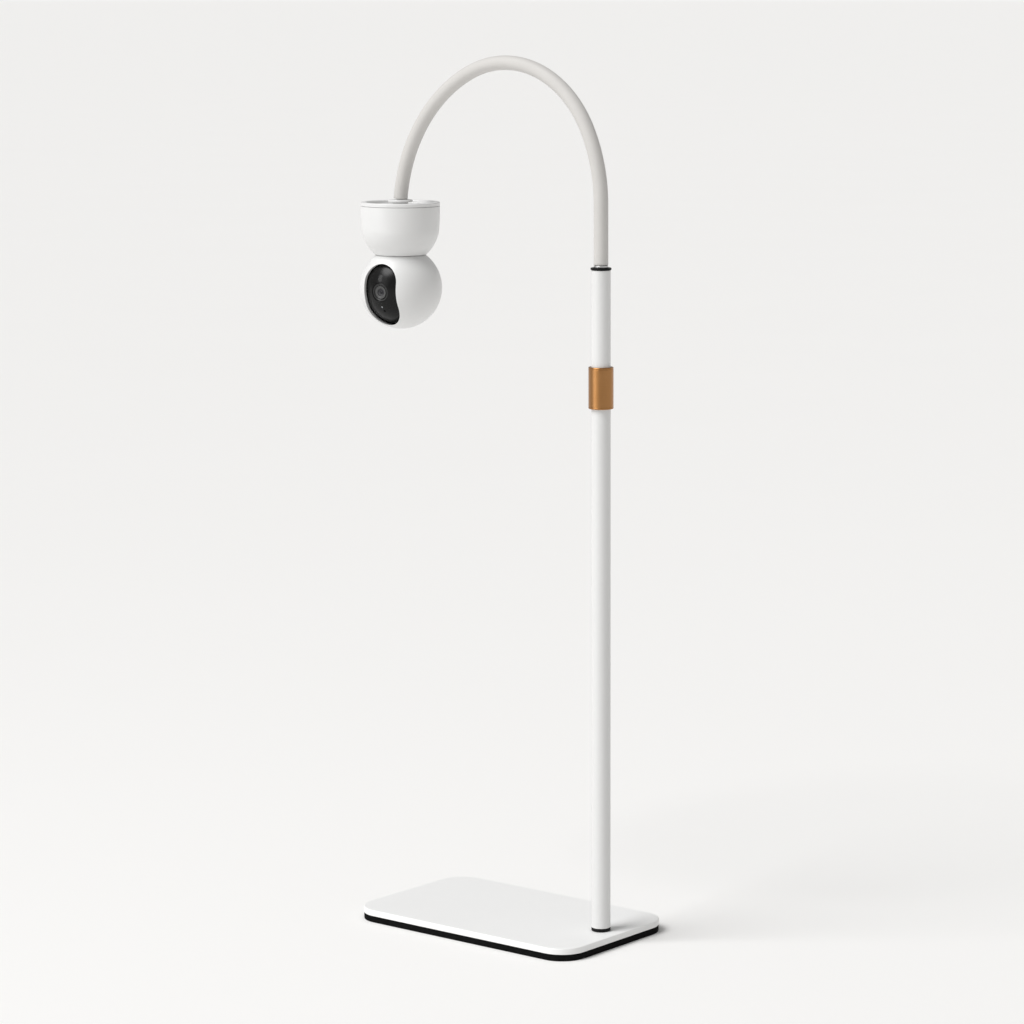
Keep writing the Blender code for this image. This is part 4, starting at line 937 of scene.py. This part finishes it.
def eye():
    count, steps = 160, 40
    opening, far = LENS_OPENING, math.pi - 0.02
    loops = []
    start = math.asin(opening / EYE_INSIDE)
    for k in range(13):
        polar = start + (far - start) * (12 - k) / 12
        loops.append((EYE_INSIDE * math.sin(polar), EYE_INSIDE * math.cos(polar)))
    edge = EYE_RADIUS * math.cos(math.asin(opening / EYE_RADIUS))
    loops += [(opening, edge - 0.5 * MM), (opening + 0.05 * MM, edge - 0.15 * MM),
              (opening + 0.2 * MM, edge - 0.06 * MM)]
    start = math.asin((opening + 0.4 * MM) / EYE_RADIUS)
    for k in range(steps + 1):
        polar = start + (far - start) * k / steps
        loops.append((EYE_RADIUS * math.sin(polar), EYE_RADIUS * math.cos(polar)))
    face = turned("eye_face_gloss", loops, GLOSS, EYE @ FORWARD, sides=count)
    reach, half = 50 * MM, EYE_HALF_WIDTH
    keeper = prism([(-half, -reach), (half, -reach), (half, EYE_BEHIND), (-half, EYE_BEHIND)],
                   -reach, reach, EYE)
    cut(face, keeper, operation="INTERSECT")
    turn = EYE @ Matrix.Rotation(math.radians(90), 4, "Y")
    middle = half - MM
    rim = circle(math.sqrt(EYE_RADIUS ** 2 - middle ** 2), 96)
    for number, side in enumerate((-1, 1), 1):
        cheek = prism(rim, side * middle - MM, side * middle + MM, turn)
        back = prism([(-reach, EYE_BEHIND), (reach, EYE_BEHIND), (reach, reach), (-reach, reach)],
                     -reach, reach, EYE)
        cut(cheek, back)
        cheek.name = f"eye_cheek_{number}"
        cut(cheek, prism(circle(2.5 * MM, 32), -reach, reach, turn))
        cheek.data.materials.clear()
        cheek.data.materials.append(BLACK)
        show(cheek, "eye", "black_gloss")
    for degrees, side in ((LIGHT_DEGREES, 0.0), (MIC_DEGREES, 1.6)):
        tilt = EYE @ Matrix.Rotation(math.radians(90 + degrees), 4, "X")
        cut(face, prism(circle(1.2 * MM, 32, (side * MM, 0)), 35 * MM, 45 * MM, tilt))
    true_normals(face, ball_normal(EYE_RADIUS))
    show(face, "eye", "black_gloss", "eye_face")
    tilt = EYE @ Matrix.Rotation(math.radians(90 + LIGHT_DEGREES), 4, "X")
    profile = [(0, 38.0 * MM), (0.45 * MM, 37.95 * MM), (0.8 * MM, 37.8 * MM), (0.9 * MM, 37.6 * MM),
               (0.9 * MM, 36.5 * MM), (0, 36.5 * MM)]
    light = turned("status_light_lens", profile, LIGHT, tilt, sides=32, closed=False)
    show(light, "eye", "lens_glass", "status_light")
    infrared_lenses()
    lens()


def infrared_lenses():
    """A small field of bead lenses in front of the infrared emitters, above the lens."""
    shape = bmesh.new()
    pitch, middle = 1.05 * MM, 14.3 * MM
    for row in range(-3, 4):
        for column in range(-2, 3):
            x, z = (column + 0.5 * (row % 2)) * pitch, middle + row * 0.87 * pitch
            if math.hypot(x / 2.6, (z - middle) / 3.6) > MM:
                continue
            out = Vector((x, on_ball(x, z, EYE_RADIUS), z)).normalized()
            turn = out.to_track_quat("Z", "Y").to_matrix().to_4x4()
            place = Matrix.Translation(out * (EYE_RADIUS - 0.10 * MM))
            at = EYE @ place @ turn @ Matrix.Diagonal((1, 1, 0.55, 1))
            bmesh.ops.create_uvsphere(shape, u_segments=12, v_segments=8, radius=0.38 * MM, matrix=at)
    mesh = bpy.data.meshes.new("infrared_lenses")
    shape.to_mesh(mesh)
    shape.free()
    show(finished("infrared_bead_lenses", mesh, BEADS, 80), "eye", "lens_glass")


def lens():
    axis = EYE @ FORWARD
    front, back, bezel, bezel_inside = LENS_FRONT, LENS_FRONT - LENS_THICKNESS, BEZEL_RADIUS, 6.7 * MM
    top = front + 1.0 * MM
    corners = [(bezel, top - 0.25 * MM, 0.3 * MM), (bezel, back, 0.2 * MM),
               (bezel_inside, back, 0.1 * MM), (bezel_inside, top - 1.1 * MM, 0.08 * MM),
               (7.3 * MM, top - 0.9 * MM, 0.08 * MM), (7.45 * MM, top - 0.35 * MM, 0.08 * MM),
               (8.0 * MM, top, 0.3 * MM), (8.8 * MM, top, 0.25 * MM)]
    rim = turned("lens_bezel_rim", rounded(corners), SATIN_BLACK, axis, sides=128)
    show(rim, "eye", "black_gloss", "lens_bezel")
    steps = [(6.5 * MM, top - 1.2 * MM), (6.5 * MM, back), (5.7 * MM, back),
             (5.7 * MM, front + 0.05 * MM), (4.0 * MM, front + 0.05 * MM)]
    for i in range(6):
        r = 4.05 * MM + i * 0.4 * MM
        z = top - 0.85 * MM + i * 0.11 * MM
        steps += [(r, z), (r + 0.3 * MM, z + 0.02 * MM)]
    show(turned("lens_step_ring", steps, LENS_RING, axis, sides=128), "eye", "black_gloss")
    bead = 1.5 * MM
    dome = []
    for i in range(9):
        angle = math.radians(64 * i / 8)
        dome.append((bead * math.sin(angle), front - 0.05 * MM - bead + bead * math.cos(angle)))
    trough = dome[-1][1]
    dome += [(1.75 * MM, trough), (1.85 * MM, trough + 0.12 * MM), (2.9 * MM, trough + 0.25 * MM),
             (3.0 * MM, trough + 0.42 * MM), (3.9 * MM, front - 0.35 * MM),
             (LENS_RADIUS, front - 0.45 * MM), (LENS_RADIUS, back), (0, back)]
    glass = turned("front_lens", dome, GLASS, axis, sides=96, closed=False)
    show(glass, "eye", "lens_glass", "lens_glass")
    high, low, outside, inside = back - 0.3 * MM, back - 20.3 * MM, 7.2 * MM, 4.4 * MM
    corners = [(outside, high, 0.3 * MM), (outside, low, 0.3 * MM), (inside, low, 0.2 * MM),
               (inside, high, 0.1 * MM)]
    barrel = turned("lens_barrel_turned", rounded(corners), BLACK, axis, sides=64)
    show(barrel, "eye", "black_plastic", "lens_barrel")


def inner_solids():
    """Materials of the solids inside, which keep their shapes."""
    finishes = {
        STEEL: ["pole_bolt", "lower_insert", "coupling_spigot", "neck_socket", "mount_stud", "hub_clip",
                "tilt_pin_1", "tilt_pin_2", "pan_motor", "tilt_motor", "tilt_bracket"],
        BRASS: ["thread_insert", "pan_bearing"],
        BOARD: ["main_board", "sensor_board", "infrared_board"],
        GEAR: ["pan_gear", "pan_pinion", "tilt_gear", "tilt_pinion"],
        WHITE: ["pan_plate", "head_hub"],
        BLACK: ["speaker"],
    }
    for material, nodes in finishes.items():
        for node in nodes:
            piece = frame["nodes"][node]
            piece.data.materials.clear()
            piece.data.materials.append(material)


# Studio

def studio():
    """A wide level floor whose far edge curves up."""
    flat, bend = 2000.0, 500.0
    profile = [(0, 0), (3.0, 0), (10.0, 0), (60.0, 0), (400.0, 0), (flat, 0)]
    for i in range(1, 25):
        angle = math.radians(90 * i / 24)
        profile.append((flat + bend * math.sin(angle), bend - bend * math.cos(angle)))
    floor = turned("floor", profile, floor_paint(), closed=False, sides=128, sharp=60)


def sun(name, azimuth, elevation, strength, angle):
    """A soft lamp whose light comes from a bearing round from +X and a height, in degrees."""
    data = bpy.data.lights.new(name, "SUN")
    data.energy = strength
    data.angle = math.radians(angle)
    lamp = bpy.data.objects.new(name, data)
    bpy.context.scene.collection.objects.link(lamp)
    flat, up = math.cos(math.radians(elevation)), math.sin(math.radians(elevation))
    turn = math.radians(azimuth)
    source = Vector((flat * math.cos(turn), flat * math.sin(turn), up))
    lamp.location = source * 4
    lamp.rotation_euler = source.to_track_quat("Z", "Y").to_euler()
    return lamp


def softbox(name, place, target, size, power):
    """A rectangular lamp turned towards a target."""
    data = bpy.data.lights.new(name, "AREA")
    data.shape = "RECTANGLE"
    data.size, data.size_y = size
    data.energy = power
    lamp = bpy.data.objects.new(name, data)
    bpy.context.scene.collection.objects.link(lamp)
    lamp.location = place
    lamp.rotation_euler = (Vector(target) - Vector(place)).to_track_quat("-Z", "Y").to_euler()
    lamp.visible_camera = False
    return lamp


def lights():
    sun("key", 248.0, 52.0, 2.5, 34.0)
    softbox("left_softbox", (-1.05, -2.35, 1.05), (-0.02, 0, 0.5), (1.5, 1.9), 12)
    world = bpy.data.worlds.new("studio_air")
    bpy.context.scene.world = world
    world.use_nodes = True
    world.node_tree.nodes["Background"].inputs[0].default_value = (1.0, 0.995, 0.985, 1.0)
    world.node_tree.nodes["Background"].inputs[1].default_value = 0.36
    bpy.context.scene.view_settings.view_transform = "Standard"
    bpy.context.scene.view_settings.look = "None"


def camera():
    data = bpy.data.cameras.new("camera")
    data.lens = 121.8
    data.sensor_width = 36.0
    data.shift_x = -0.0868
    data.clip_start, data.clip_end = 0.05, 4000
    view = bpy.data.objects.new("camera", data)
    bpy.context.scene.collection.objects.link(view)
    view.location = (2.20295, -2.65494, 0.93679)
    view.rotation_euler = (math.radians(90 - 8.4223), 0, math.radians(38.1448))
    bpy.context.scene.camera = view


camera()
lights()
studio()
base()
pole()
gooseneck()
camera_base()
head()
eye()
inner_solids()
